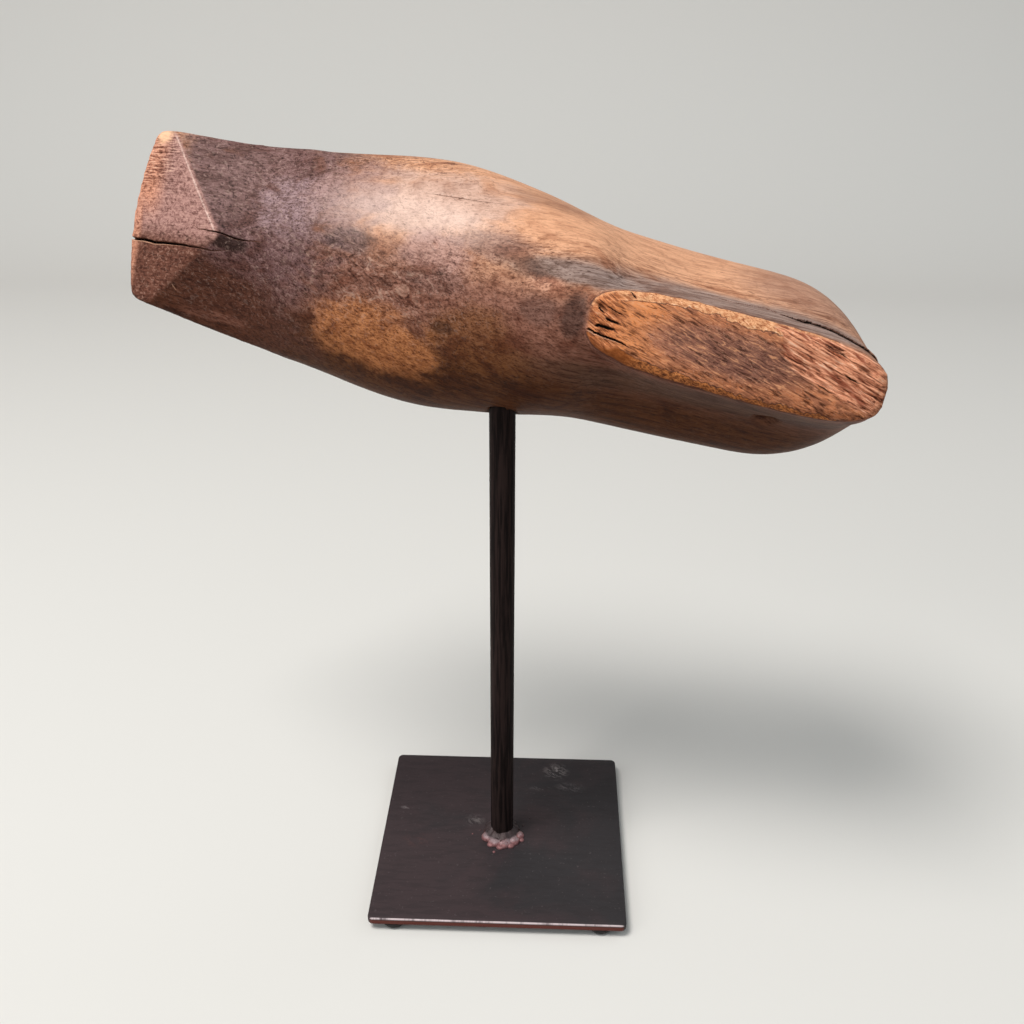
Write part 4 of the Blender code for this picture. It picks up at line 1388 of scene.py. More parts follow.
@dataclass(frozen=True)
class OldWood:
    """Old close-grained wood: oiled and handled, dark with dirt, with raw grain where it is torn, painted
    sheen on its upper flank and painted shade on its lower flank.

    Attributes:
        shape: the last's frame.
        grain_rise_deg: how steeply the grain climbs towards the toe.
        pith: a point of the tree's middle, in metres of the last's frame.
        ring: how far apart the growth rings lie.
        stains: the patches of other tones, from the lowest layer to the highest.
    """

    shape: LastFrame
    tan: Tone = (230, 174, 138)
    brown: Tone = (158, 111, 94)
    dark: Tone = (101, 61, 34)
    black: Tone = (20, 12, 9)
    ring_line: Tone = (190, 168, 156)
    grain_line: Tone = (160, 138, 128)
    streak: Tone = (184, 168, 160)
    fleck: Tone = (130, 110, 104)
    pit: Tone = (138, 120, 118)
    sheen_between_pits: Tone = (240, 208, 194)
    mottle: Tone = (126, 104, 98)
    between_mottles: Tone = (238, 200, 180)
    grime: Tone = (206, 188, 180)
    rim_border: Tone = (84, 56, 50)
    lip_highlight: Tone = (240, 190, 158)
    crack_edge: Tone = (96, 58, 42)
    grain_rise_deg: float = 9.0
    pith: Point = (0.0, 14.0 * MM, -30.0 * MM)
    ring: float = 2.3 * MM
    stains: tuple[Stain, ...] = (
        Stain((24.0, -26.0, 38.0), (34.0, 14.0, 22.0), (184, 140, 118), 0.85),
        Stain((225.0, -17.0, 28.0), (45.0, 50.0, 37.0), (124, 94, 95), 0.95, 1.4),
        Stain((212.0, -17.0, 34.0), (20.0, 12.0, 10.0), (166, 140, 145), 0.75, 1.6),
        # Darker on the toe's lower side: painted shade over darker wood.
        Stain((238.0, 24.0, 20.0), (46.0, 20.0, 20.0), (96, 57, 41), 0.92, 1.4),
        # Painted highlight on the upper flank, over paler wood.
        Stain((163.0, -27.0, 45.0), (34.0, 15.0, 13.0), (214, 178, 162), 0.85, 1.5),
        Stain((192.0, -23.0, 38.0), (16.0, 16.0, 12.0), (178, 140, 132), 0.60, 1.6),
        Stain((158.0, -9.0, 53.0), (22.0, 8.0, 7.0), (192, 150, 140), 0.85, 1.3),
        Stain((158.0, -1.0, 54.0), (16.0, 5.0, 7.0), (136, 100, 92), 0.60, 1.6),
        Stain((188.7, -8.2, 44.6), (12.0, 4.5, 6.0), (112, 88, 88), 0.70, 1.4),
        Stain((139.0, -16.0, 58.5), (17.0, 5.5, 8.0), (156, 120, 110), 0.75, 1.3),
        Stain((175.0, 22.0, 43.0), (29.0, 12.0, 12.0), (206, 138, 90), 0.85, 1.9),
        Stain((138.0, 16.0, 58.0), (22.0, 13.0, 10.0), (134, 87, 53), 0.80, 1.0),
        Stain((235.0, 27.6, 21.0), (17.0, 1.8, 4.0), (146, 100, 84), 0.55, 1.2),
        Stain((116.0, -12.5, 66.5), (34.0, 4.6, 7.0), (140, 118, 110), 0.90),
        Stain((58.0, -14.0, 64.0), (66.0, 7.5, 16.0), (166, 147, 141), 0.90),
        Stain((111.5, 0.5, 72.0), (5.5, 9.0, 3.2), (84, 60, 54), 0.80, 0.9),
        Stain((122.0, 1.0, 68.0), (9.0, 5.0, 5.0), (120, 90, 82), 0.60, 0.9),
        Stain((121.0, -36.0, 44.0), (20.0, 4.0, 12.0), (176, 130, 104), 0.60, 1.4),
        # Darker on the cone's lower wall: painted shade.
        Stain((60.0, 18.0, 62.0), (62.0, 6.0, 12.0), (112, 84, 68), 0.80),
        Stain((231.0, 1.5, 30.5), (9.0, 3.0, 4.0), (52, 33, 28), 0.90, 0.9),
        Stain((121.5, -7.2, 68.3), (7.0, 3.0, 4.0), (212, 158, 132), 0.90, 0.5),
        Stain((152.0, 13.5, 55.0), (4.5, 2.0, 4.0), (70, 44, 34), 0.60, 0.9),
    )

    def rings(self, graph: Graph, where: Value, drift: Value) -> Value:
        """The growth rings: thin dark lines where shells round the pith meet the surface."""
        turns = graph.distance(where, self.pith, (0.07, 1.0, 1.0)) / self.ring + drift * 2.4
        return graph.node("ShaderNodeMath", {"operation": "PINGPONG"}, {0: turns, 1: 0.5}).step(0.30, 0.50)

    def stained(self, graph: Graph, where: Value, across: Value, drift: Value) -> Value:
        """The wood's ground colour: tan with painted sheen above, brown in front, and dark with painted shade
        below, with its stains.

        Args:
            graph: the material's nodes.
            where: coordinates in the last's frame.
            across: the second of them.
            drift: slow noise.

        Returns:
            The colour.
        """
        # Painted light: tan on the upward flank is paler wood with painted sheen, and dark on the downward
        # flank is painted shade over slightly darker wood.
        colour = graph.blend(self.brown, self.tan, across.step(0.002, -0.018))
        colour = graph.blend(colour, self.dark, across.step(0.010, 0.026))
        for stain in self.stains:
            there = stain.reach(graph, where, drift).step(1.25, 0.55) * stain.strength
            colour = graph.blend(colour, stain.tone, there)
        return colour

    def aged(
        self, graph: Graph, where: Value, colour: Value, layers: GrainLayers, soiled: Value, pitted: Value
    ) -> Value:
        """Works the rings, the grain, the pits and the dirt into the ground colour, with a painted sheen on
        the high spots between the pits.

        Args:
            graph: the material's nodes.
            where: coordinates in the last's frame.
            colour: the ground colour.
            layers: the grain's noise.
            soiled: how much dirt the grain holds.
            pitted: how strong the pits are.

        Returns:
            The colour.
        """
        rings = self.rings(graph, where, layers.drift)
        vamp = graph.distance(where, (0.180, 0.002, 0.047), (28.0, 60.0, 50.0)).step(1.2, 0.4)
        colour = graph.blend(colour, self.ring_line, rings * 0.28, "MULTIPLY")
        dark_grain = layers.grain.step(0.45, 0.66) * soiled * 0.80
        colour = graph.blend(colour, self.grain_line, dark_grain, "MULTIPLY")
        colour = graph.blend(colour, self.streak, layers.streaks.step(0.44, 0.66) * soiled * 0.75, "MULTIPLY")
        colour = graph.blend(colour, self.fleck, layers.flecks.step(0.60, 0.72) * soiled * 0.8, "MULTIPLY")
        colour = graph.blend(colour, self.pit, layers.pits.step(0.46, 0.32) * pitted, "MULTIPLY")
        # Painted sheen: pale on the high spots between the pits, where the bump stands highest.
        colour = graph.blend(colour, self.sheen_between_pits, layers.pits.step(0.52, 0.68) * pitted * 0.18)
        colour = graph.blend(colour, self.mottle, layers.patches.step(0.50, 0.66) * vamp * 0.65, "MULTIPLY")
        colour = graph.blend(colour, self.between_mottles, layers.patches.step(0.46, 0.34) * vamp * 0.30)
        return graph.blend(colour, self.grime, layers.drift.step(0.50, 0.66) * soiled, "MULTIPLY")

    def material(self) -> bpy.types.Material:
        """Builds the material.

        Returns:
            The material, which reads the marks that the mesh holds.
        """
        graph = Graph("old_wood")
        matrix = self.shape.matrix()
        where = graph.place(tuple(matrix.translation), tuple(matrix.to_euler()))
        along, across, up = graph.axes(where)
        cut, lip, torn = (graph.mark(name) for name in ("cut", "lip", "torn"))
        rim, edge, strand = (graph.mark(name) for name in ("rim", "edge", "strand"))
        layers = GrainLayers.laid(graph, where, self.grain_rise_deg)

        polish = graph.distance(where, (0.170, -0.024, 0.045), (24.0, 52.0, 52.0)).step(1.3, 0.4)
        pale = across.step(-0.016, -0.026) * along.step(0.165, 0.150)
        soiled = 1.0 - pale.most(polish) * 0.60
        pitted = (along.step(0.125, 0.165) * across.step(0.036, 0.006) * 0.8 + 0.2) * (1.0 - polish * 0.5)
        colour = self.stained(graph, where, across, layers.drift)
        colour = self.aged(graph, where, colour, layers, soiled, pitted)
        colour = ToeFlat().colour(graph, where, colour, edge, layers.drift)

        bare = up.step(0.0745, 0.0757)
        colour = graph.blend(colour, ConeTop().colour(graph, where, along), bare * 0.95)
        colour = graph.blend(colour, self.rim_border, rim.step(0.02, 0.30) * 0.85)
        worn = rim.step(0.35, 0.80) * 0.95
        colour = graph.blend(colour, WornRim().colour(graph, where, across, layers.drift), worn)
        colour = graph.blend(colour, TornGrain().colour(graph, where, along, strand), torn * 0.95)
        # Painted highlight on the raised wood beside the cracks.
        colour = graph.blend(colour, self.lip_highlight, lip.step(0.35, 0.95) * 0.5)
        # Painted shade in the cracks: dark brown at their edges and black within.
        colour = graph.blend(colour, self.crack_edge, cut.step(0.05, 0.45) * 0.8)
        colour = graph.blend(colour, self.black, cut.step(0.40, 0.75))

        height = 0.65 * layers.pits * (pitted + 0.15) + 0.30 * layers.grain + 0.15 * layers.flecks
        coat = (polish * 0.66 + 0.10 * pale + 0.06) * (1.0 - torn) * (1.0 - bare * 0.6) * (1.0 - cut)
        return graph.finish(
            Base_Color=colour,
            Roughness=0.48 + 0.16 * layers.grain + 0.22 * torn + 0.25 * cut,
            Normal=graph.bump(height, 0.36 * MM),
            Specular_IOR_Level=0.10,
            Coat_Weight=coat * (0.6 + 0.4 * layers.pits),
            Coat_Roughness=0.36,
            Coat_IOR=1.5,
        )


class SteelPart(Enum):
    """The two stock pieces of the stand, each with the name of its solid."""

    PLATE = "base_plate"
    ROD = "support_rod"


@dataclass(frozen=True)
class BlackenedSteel:
    """Hot-rolled steel with its black scale under wax, scuffed, with a painted highlight along an edge.

    Attributes:
        part: the piece that it is for, because the scale lies differently on plate and bar.
        scuffs: the plate's rubbed places, from its centre.
    """

    part: SteelPart
    scale: Tone = (66, 54, 57)
    cool: Tone = (52, 49, 52)
    rolled: Tone = (44, 40, 42)
    speck: Tone = (104, 94, 96)
    back_shade: Tone = (196, 190, 194)
    edge_highlight: Tone = (238, 222, 226)
    brown: Tone = (116, 58, 48)
    bar: Tone = (48, 38, 37)
    bar_line: Tone = (26, 21, 21)
    bar_speck: Tone = (44, 36, 34)
    scuffs: tuple[Stain, ...] = (
        Stain((23.0, 41.0, 1.6), (8.0, 8.0, 4.0), (150, 142, 142), 0.60, 1.2),
        Stain((29.0, 30.0, 1.6), (9.0, 5.0, 4.0), (110, 104, 106), 0.50, 1.2),
        Stain((16.0, 29.0, 1.6), (7.0, 2.5, 4.0), (104, 98, 100), 0.50, 1.2),
        Stain((-12.0, 7.0, 1.6), (6.0, 5.0, 4.0), (120, 112, 112), 0.60, 1.2),
        Stain((-36.0, -6.0, 1.6), (9.0, 7.0, 4.0), (92, 62, 60), 0.40, 1.2),
        Stain((-43.0, 14.0, 1.6), (4.0, 1.5, 4.0), (130, 120, 122), 0.60, 1.2),
    )

    def material(self) -> bpy.types.Material:
        """Builds the material.

        Returns:
            The material for the plate or for the rod.
        """
        graph = Graph(f"blackened_steel_{self.part.name.lower()}")
        where = graph.place(tuple(box_middle(self.part.value)))
        specks = graph.cloud(graph.stretch(where, (760.0, 760.0, 760.0)), 3.0, 0.6)
        if self.part is SteelPart.PLATE:
            return self.plate_finish(graph, where, specks)
        return self.rod_finish(graph, where, specks)

    def plate_finish(self, graph: Graph, where: Value, specks: Value) -> bpy.types.Material:
        """The plate: cloudy rolled scale, with painted shade towards the back.

        Args:
            graph: the material's nodes.
            where: coordinates from the plate's centre.
            specks: fine noise.

        Returns:
            The material.
        """
        x, y, _ = graph.axes(where)
        patches = graph.cloud(graph.stretch(where, (26.0, 30.0, 30.0)), 5.0, 0.6, 0.6)
        rolled = graph.cloud(graph.stretch(where, (110.0, 500.0, 260.0)), 3.0, 0.6)
        colour = graph.blend(self.scale, self.cool, (patches + x * 4.0).step(0.38, 0.66))
        colour = graph.blend(colour, self.rolled, rolled.step(0.44, 0.64) * 0.30)
        colour = graph.blend(colour, self.speck, specks.step(0.62, 0.74) * 0.35)
        # Painted shade: the plate darkens towards the back, so its front reads as a painted sheen.
        colour = graph.blend(colour, self.back_shade, y.step(-20.0 * MM, 40.0 * MM) * 0.8, "MULTIPLY")
        colour, worn = self.scuffed(graph, where, colour)
        return graph.finish(
            Base_Color=colour,
            Roughness=0.46 + 0.16 * patches + 0.10 * rolled - 0.10 * worn,
            Metallic=0.40,
            Specular_IOR_Level=0.35,
            Normal=graph.bump(0.4 * rolled + 0.6 * specks, 0.07 * MM),
        )

    def scuffed(self, graph: Graph, where: Value, colour: Value) -> tuple[Value, Value]:
        """Adds the plate's scuffs and its front edge: a painted highlight along its top, where the scale is
        also less rough, and brown below.

        Args:
            graph: the material's nodes.
            where: coordinates from the plate's centre.
            colour: the scale's colour.

        Returns:
            The colour and the share of the edge's painted highlight.
        """
        low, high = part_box("base_plate")
        half = (high - low) / 2
        _, y, z = graph.axes(where)
        wisps = graph.cloud(graph.stretch(where, (210.0, 420.0, 200.0), (0.0, 0.0, 0.6)), 5.0, 0.75, 0.8)
        for scuff in self.scuffs:
            near = scuff.reach(graph, where, wisps).step(1.0, 0.3)
            colour = graph.blend(colour, scuff.tone, near * wisps.step(0.46, 0.62) * scuff.strength)
        front = (y + half.y).step(0.60 * MM, 0.10 * MM)
        uneven = graph.cloud(graph.stretch(where, (120.0, 2.0, 2.0)), 4.0, 0.8)
        # Painted highlight along the rounded top of the front edge, broken up unevenly.
        worn = front * z.step(half.z - 0.9 * MM, half.z - 0.4 * MM) * uneven.step(0.28, 0.56)
        below = front * z.step(half.z - 0.6 * MM, half.z - 1.4 * MM)
        colour = graph.blend(colour, self.brown, below * 0.8)
        return graph.blend(colour, self.edge_highlight, worn * 0.9), worn

    def rod_finish(self, graph: Graph, where: Value, specks: Value) -> bpy.types.Material:
        """The rod: darker scale with fine lines along the bar.

        Args:
            graph: the material's nodes.
            where: coordinates from the rod's centre.
            specks: fine noise.

        Returns:
            The material.
        """
        drawn = graph.cloud(graph.stretch(where, (900.0, 900.0, 45.0)), 3.0, 0.6)
        colour = graph.blend(self.bar, self.bar_line, drawn.step(0.40, 0.60))
        colour = graph.blend(colour, self.bar_speck, specks.step(0.60, 0.74) * 0.30)
        return graph.finish(
            Base_Color=colour,
            Roughness=0.42 + 0.2 * drawn,
            Metallic=0.0,
            IOR=1.2,
            Specular_IOR_Level=0.15,
            Normal=graph.bump(0.5 * drawn + 0.5 * specks, 0.09 * MM),
        )


@dataclass(frozen=True)
class WeldMetal:
    """Bare weld: pinkish grey lumps, rusty at the foot, with painted shade where they run up the rod and at
    their back.
    """

    pale: Tone = (142, 122, 126)
    rust: Tone = (132, 82, 83)
    glint: Tone = (214, 196, 198)
    dark: Tone = (40, 28, 29)

    def material(self) -> bpy.types.Material:
        """Builds the material.

        Returns:
            The material, centred on the foot of the weld.
        """
        graph = Graph("weld_metal")
        foot = box_middle("weld_bead")
        foot.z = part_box("weld_bead")[0].z
        where = graph.place(tuple(foot))
        _, y, z = graph.axes(where)
        lumps = graph.cloud(graph.stretch(where, (420.0, 420.0, 420.0)), 3.0, 0.6)
        fine = graph.cloud(graph.stretch(where, (1500.0, 1500.0, 1500.0)), 3.0, 0.6)
        radius = graph.distance(where, (0.0, 0.0, 0.0), (1.0, 1.0, 0.0))
        outer = z.step(1.6 * MM, 0.7 * MM)
        colour = graph.blend(self.pale, self.rust, (lumps.step(0.50, 0.64) * 0.6 + outer).least(1.0) * 0.85)
        colour = graph.blend(colour, self.glint, fine.step(0.56, 0.70) * (1.0 - outer * 0.5) * 0.5)
        # Painted shade at the weld's back and where it runs up the rod, with some dark lumps at random.
        high_up = radius.step(7.9 * MM, 6.8 * MM)
        behind = y.step(-2.5 * MM, 1.5 * MM)
        shaded = (high_up + behind + lumps.step(0.60, 0.70)).least(1.0)
        colour = graph.blend(colour, self.dark, shaded * 0.9)
        return graph.finish(
            Base_Color=colour,
            Roughness=0.40 + 0.3 * fine,
            Metallic=0.35,
            Normal=graph.bump(0.6 * fine + 0.4 * lumps, 0.16 * MM),
        )


@dataclass(frozen=True)
class Rubber:
    """Matt black rubber with a little dust on it."""

    tone: Tone = (26, 25, 25)
    dust: Tone = (64, 58, 55)

    def material(self) -> bpy.types.Material:
        """Builds the material.

        Returns:
            The material.
        """
        graph = Graph("bumper_rubber")
        where = graph.place(tuple(box_middle("base_plate")))
        dust = graph.cloud(graph.stretch(where, (700.0, 700.0, 700.0)), 3.0, 0.6)
        colour = graph.blend(self.tone, self.dust, dust.step(0.5, 0.75) * 0.5)
        rough = 0.62 + 0.25 * dust
        return graph.finish(Base_Color=colour, Roughness=rough, Normal=graph.bump(dust, 0.04 * MM))


def finished_piece(
    name: str, bm: bmesh.types.BMesh, material: bpy.types.Material, body: Body, sharp_deg: float
) -> bpy.types.Object:
    """Turns a finished bmesh into a piece that rides on its body.

    Args:
        name: the piece's name.
        bm: its mesh, in place.
        material: its finish.
        body: the body that it rides on.
        sharp_deg: the angle past which an edge stays sharp.

    Returns:
        The piece.
    """
    mesh = bpy.data.meshes.new(name)
    bm.to_mesh(mesh)
    bm.free()
    mesh.shade_smooth()
    mesh.set_sharp_from_angle(angle=math.radians(sharp_deg))
    mesh.materials.append(material)
    piece = linked(name, mesh)
    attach(piece, body.value)
    return piece


@dataclass
class Stand:
    """The steel stand: plate, rod, weld with its spatter, and four rubber feet.

    Attributes:
        corner_radius, corner_steps: the rounding of the plate's corners.
        edge_round, edge_steps: the rounding of the plate's and the rod's edges.
        grid: how far apart the cuts lie that let the plate bend.
        unevenness: how far the plate's faces stray from flat.
        shear_bite: how deep the nibbled marks of the shears are, as a share of the plate.
        rod_sides, rod_cuts: how finely the rod is divided.
        rod_unevenness: how far its surface strays inwards, as a share of its radius.
        weld_lumps, weld_steps: how many lumps the weld has, and how finely it is divided.
        weld_bite: how far the weld laps under the rod's surface.
        weld_reach, weld_rise: the size at which the weld's profile is drawn, in millimetres.
        weld_profile: the weld's half section, as shares of that size.
        spatter, nuggets: places to the right and back of the rod and radii, in millimetres.
        foot_steps: how finely a foot is divided.
        foot_profile: a foot's half section, as shares of its radius and height.
        bead_flatness, bead_rise, bead_roughness: how high a bead is against its width, and how far its
            middle lies above the plate and its surface strays, as shares of its radius.
    """

    corner_radius: float = 2.2 * MM
    corner_steps: int = 8
    edge_round: float = 0.6 * MM
    edge_steps: int = 3
    grid: float = 4.0 * MM
    unevenness: float = 0.035 * MM
    shear_bite: float = 0.0006
    rod_sides: int = 72
    rod_cuts: int = 70
    rod_unevenness: float = 0.006
    weld_lumps: int = 11
    weld_steps: int = 220
    weld_bite: float = 0.1 * MM
    weld_reach: float = 3.4
    weld_rise: float = 3.3
    weld_profile: tuple[tuple[float, float], ...] = (
        (0.0, -0.08), (1.0, -0.08), (1.02, 0.10), (0.93, 0.30), (0.74, 0.52), (0.50, 0.70), (0.28, 0.86),
        (0.12, 0.97), (0.0, 1.0),
    )
    foot_steps: int = 40
    foot_profile: tuple[tuple[float, float], ...] = (
        (0.0, 0.0), (0.50, 0.0), (0.58, 0.012), (0.74, 0.10), (0.88, 0.28), (0.965, 0.52), (0.985, 0.70),
        (0.985, 0.86), (0.94, 0.90), (0.94, 0.995), (0.0, 0.995),
    )
    bead_flatness: float = 0.62
    bead_rise: float = 0.10
    bead_roughness: float = 0.10
    spatter: tuple[Point, ...] = (
        (-5.3, 2.6, 0.62),
        (-2.9, -12.4, 0.60),
        (-9.4, 0.6, 0.40),
        (-12.6, -1.8, 0.32),
        (8.9, 4.2, 0.36),
        (11.8, 9.0, 0.28),
    )
    nuggets: tuple[Point, ...] = (
        (-5.6, -3.8, 2.9),
        (-2.6, -6.4, 3.1),
        (1.2, -7.0, 3.2),
        (4.8, -5.4, 3.0),
        (7.0, -2.4, 2.5),
        (-0.4, -9.4, 1.7),
        (3.9, -8.3, 1.8),
        (-4.4, -8.0, 1.6),
        (8.4, -4.8, 1.2),
    )

    def build(self) -> list[bpy.types.Object]:
        """Builds every piece of the stand."""
        steel = [self.build_plate(), self.build_rod(), self.build_weld(), self.build_spatter()]
        return steel + self.build_feet()

    def build_plate(self) -> bpy.types.Object:
        """The plate: sheared square, rounded at its corners and edges, and not quite flat.

        Returns:
            The piece.
        """
        low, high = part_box("base_plate")
        size = high - low
        bm = bmesh.new()
        bmesh.ops.create_cube(bm, size=1.0)
        bmesh.ops.scale(bm, verts=bm.verts, vec=size)
        rounded(bm, [e for e in bm.edges if rise_of(e) > size.z / 2], self.corner_radius, self.corner_steps)
        rounded(bm, [e for e in bm.edges if rise_of(e) < size.z / 2], self.edge_round, self.edge_steps)
        count = int(size.x / self.grid)
        for axis in (Vector((1.0, 0.0, 0.0)), Vector((0.0, 1.0, 0.0))):
            for i in range(1, count):
                cut = axis * (size.x * (i / count - 0.5))
                everything = bm.verts[:] + bm.edges[:] + bm.faces[:]
                bmesh.ops.bisect_plane(bm, geom=everything, plane_co=cut, plane_no=axis)
        points = np.array([vert.co[:] for vert in bm.verts]) / MM
        level = points * (1.0, 1.0, 0.0)
        bow = waves(level, 26.0, 5.0) + 0.4 * waves(level, 9.0, 8.0)
        shear = waves(points, (7.0, 7.0, 1.5), 15.0)
        for vert, lift, nibble in zip(bm.verts, bow, shear):
            inset = 1.0 - abs(vert.co.z) / size.z
            vert.co.z += self.unevenness * (lift - 1.0) * (1.0 if vert.co.z > 0.0 else -0.4)
            vert.co.x *= 1.0 - self.shear_bite * inset * abs(nibble)
            vert.co.y *= 1.0 - self.shear_bite * inset * abs(nibble)
        bmesh.ops.translate(bm, verts=bm.verts, vec=box_middle("base_plate"))
        steel = BlackenedSteel(SteelPart.PLATE).material()
        piece = finished_piece("steel_plate", bm, steel, Body.STAND, SHARP_STEEL_DEG)
        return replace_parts(piece, "base_plate")

    def build_rod(self) -> bpy.types.Object:
        """The round rod, with the faint unevenness of rolled bar.

        Returns:
            The piece.
        """
        low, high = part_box("support_rod")
        radius, length = (high.x - low.x) / 2, high.z - low.z
        bm = bmesh.new()
        bmesh.ops.create_cone(
            bm, cap_ends=True, segments=self.rod_sides, radius1=radius, radius2=radius, depth=length
        )
        rounded(bm, [e for e in bm.edges if rise_of(e) < MM], self.edge_round, self.edge_steps)
        sides = [e for e in bm.edges if rise_of(e) > length / 2]
        bmesh.ops.subdivide_edges(bm, edges=sides, cuts=self.rod_cuts)
        points = np.array([vert.co[:] for vert in bm.verts]) / MM
        rough = waves(points, (3.0, 3.0, 24.0), 21.0)
        for vert, push in zip(bm.verts, rough):
            shrink = 1.0 - self.rod_unevenness * (1.0 + push)
            vert.co.x *= shrink
            vert.co.y *= shrink
        bmesh.ops.translate(bm, verts=bm.verts, vec=box_middle("support_rod"))
        steel = BlackenedSteel(SteelPart.ROD).material()
        piece = finished_piece("steel_rod", bm, steel, Body.STAND, SHARP_STEEL_DEG)
        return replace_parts(piece, "support_rod")

    def weld_size(self, turn: float) -> tuple[float, float]:
        """The weld's reach and height at an angle round the rod: it is lumpy, and widest in front.

        Args:
            turn: the angle, in radians.

        Returns:
            The reach and the height, in millimetres.
        """
        ripple = abs(math.sin(turn * self.weld_lumps / 2.0 + 0.7 * math.sin(turn * 2.0)))
        place = Vector((math.cos(turn) * 1.6, math.sin(turn) * 1.6, 0.0))
        swell = noise.noise(place + Vector((3.0, 5.0, 7.0)))
        forward = max(0.0, -math.sin(turn)) ** 2
        return 2.6 + 1.2 * forward + 0.5 * ripple + 0.5 * swell, 3.2 + 0.4 * ripple + 0.7 * swell

    def build_weld(self) -> bpy.types.Object:
        """The weld: a ring of overlapping lumps round the foot of the rod.

        Returns:
            The piece.
        """
        rod_low, rod_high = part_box("support_rod")
        inner = (rod_high.x - rod_low.x) / 2 - self.weld_bite
        drawn = [
            (inner + out * self.weld_reach * MM, up * self.weld_rise * MM) for out, up in self.weld_profile
        ]
        bm = spun(drawn, self.weld_steps, closed=True)
        grit = waves(np.array([vert.co[:] for vert in bm.verts]) / MM, 0.8, 33.0)
        for vert, rough in zip(bm.verts, grit):
            turn = math.atan2(vert.co.y, vert.co.x)
            out = math.hypot(vert.co.x, vert.co.y) - inner
            reach, rise = self.weld_size(turn)
            out = out / self.weld_reach * (reach + 0.14 * rough)
            vert.co.x = (inner + out) * math.cos(turn)
            vert.co.y = (inner + out) * math.sin(turn)
            if vert.co.z > 0.0:
                vert.co.z *= (rise + 0.16 * rough) / self.weld_rise
        bmesh.ops.translate(bm, verts=bm.verts, vec=on_rod_axis(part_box("weld_bead")[0].z))
        weld = WeldMetal().material()
        piece = finished_piece("weld_ring", bm, weld, Body.STAND, SHARP_WELD_DEG)
        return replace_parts(piece, "weld_bead")

    def build_spatter(self) -> bpy.types.Object:
        """The lumps in front of the weld, and small beads that were thrown onto the plate.

        Returns:
            The piece.
        """
        foot = on_rod_axis(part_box("base_plate")[1].z)
        bm = bmesh.new()
        for right, back, radius in self.spatter + self.nuggets:
            bead = bmesh.ops.create_icosphere(bm, subdivisions=4, radius=radius * MM)["verts"]
            bmesh.ops.scale(bm, verts=bead, vec=(1.0, 1.0, self.bead_flatness))
            middle = Vector((right * MM, back * MM, radius * self.bead_rise * MM))
            bmesh.ops.translate(bm, verts=bead, vec=middle)
            rough = waves(np.array([vert.co[:] for vert in bead]) / MM, 1.8, 57.0)
            for vert, push in zip(bead, rough):
                vert.co += vert.normal * (push * self.bead_roughness * radius * MM)
            bmesh.ops.translate(bm, verts=bead, vec=foot)
        weld = WeldMetal().material()
        return finished_piece("weld_spatter", bm, weld, Body.STAND, SHARP_WELD_DEG)

    def build_feet(self) -> list[bpy.types.Object]:
        """The four rubber bumpers."""
        rubber = Rubber().material()
        return [self.build_foot(end, side, rubber) for end in ("front", "rear") for side in ("left", "right")]

    def build_foot(self, end: str, side: str, rubber: bpy.types.Material) -> bpy.types.Object:
        """One rubber bumper, with the thin pad of glue that holds it to the plate.

        Args:
            end: front or rear.
            side: left or right.
            rubber: its material.

        Returns:
            The piece.
        """
        node = f"foot_{end}_{side}"
        low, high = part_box(node)
        wide, height = (high.x - low.x) / 2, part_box("base_plate")[0].z - low.z
        bm = spun([(out * wide, up * height) for out, up in self.foot_profile], self.foot_steps)
        centre = Vector(((low.x + high.x) / 2, (low.y + high.y) / 2, low.z))
        bmesh.ops.translate(bm, verts=bm.verts, vec=centre)
        name = f"bumper_{end}_{side}"
        piece = finished_piece(name, bm, rubber, Body.STAND, SHARP_RUBBER_DEG)
        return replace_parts(piece, node)


@dataclass(frozen=True)
class Lamp:
    """A square soft light.

    Attributes:
        name: its name.
        place: where it hangs.
        side: how wide it is.
        power: how strong it is, in watts.
        tone: its colour.
    """

    name: str
    place: Point
    side: float
    power: float
    tone: Tone = (255, 255, 255)


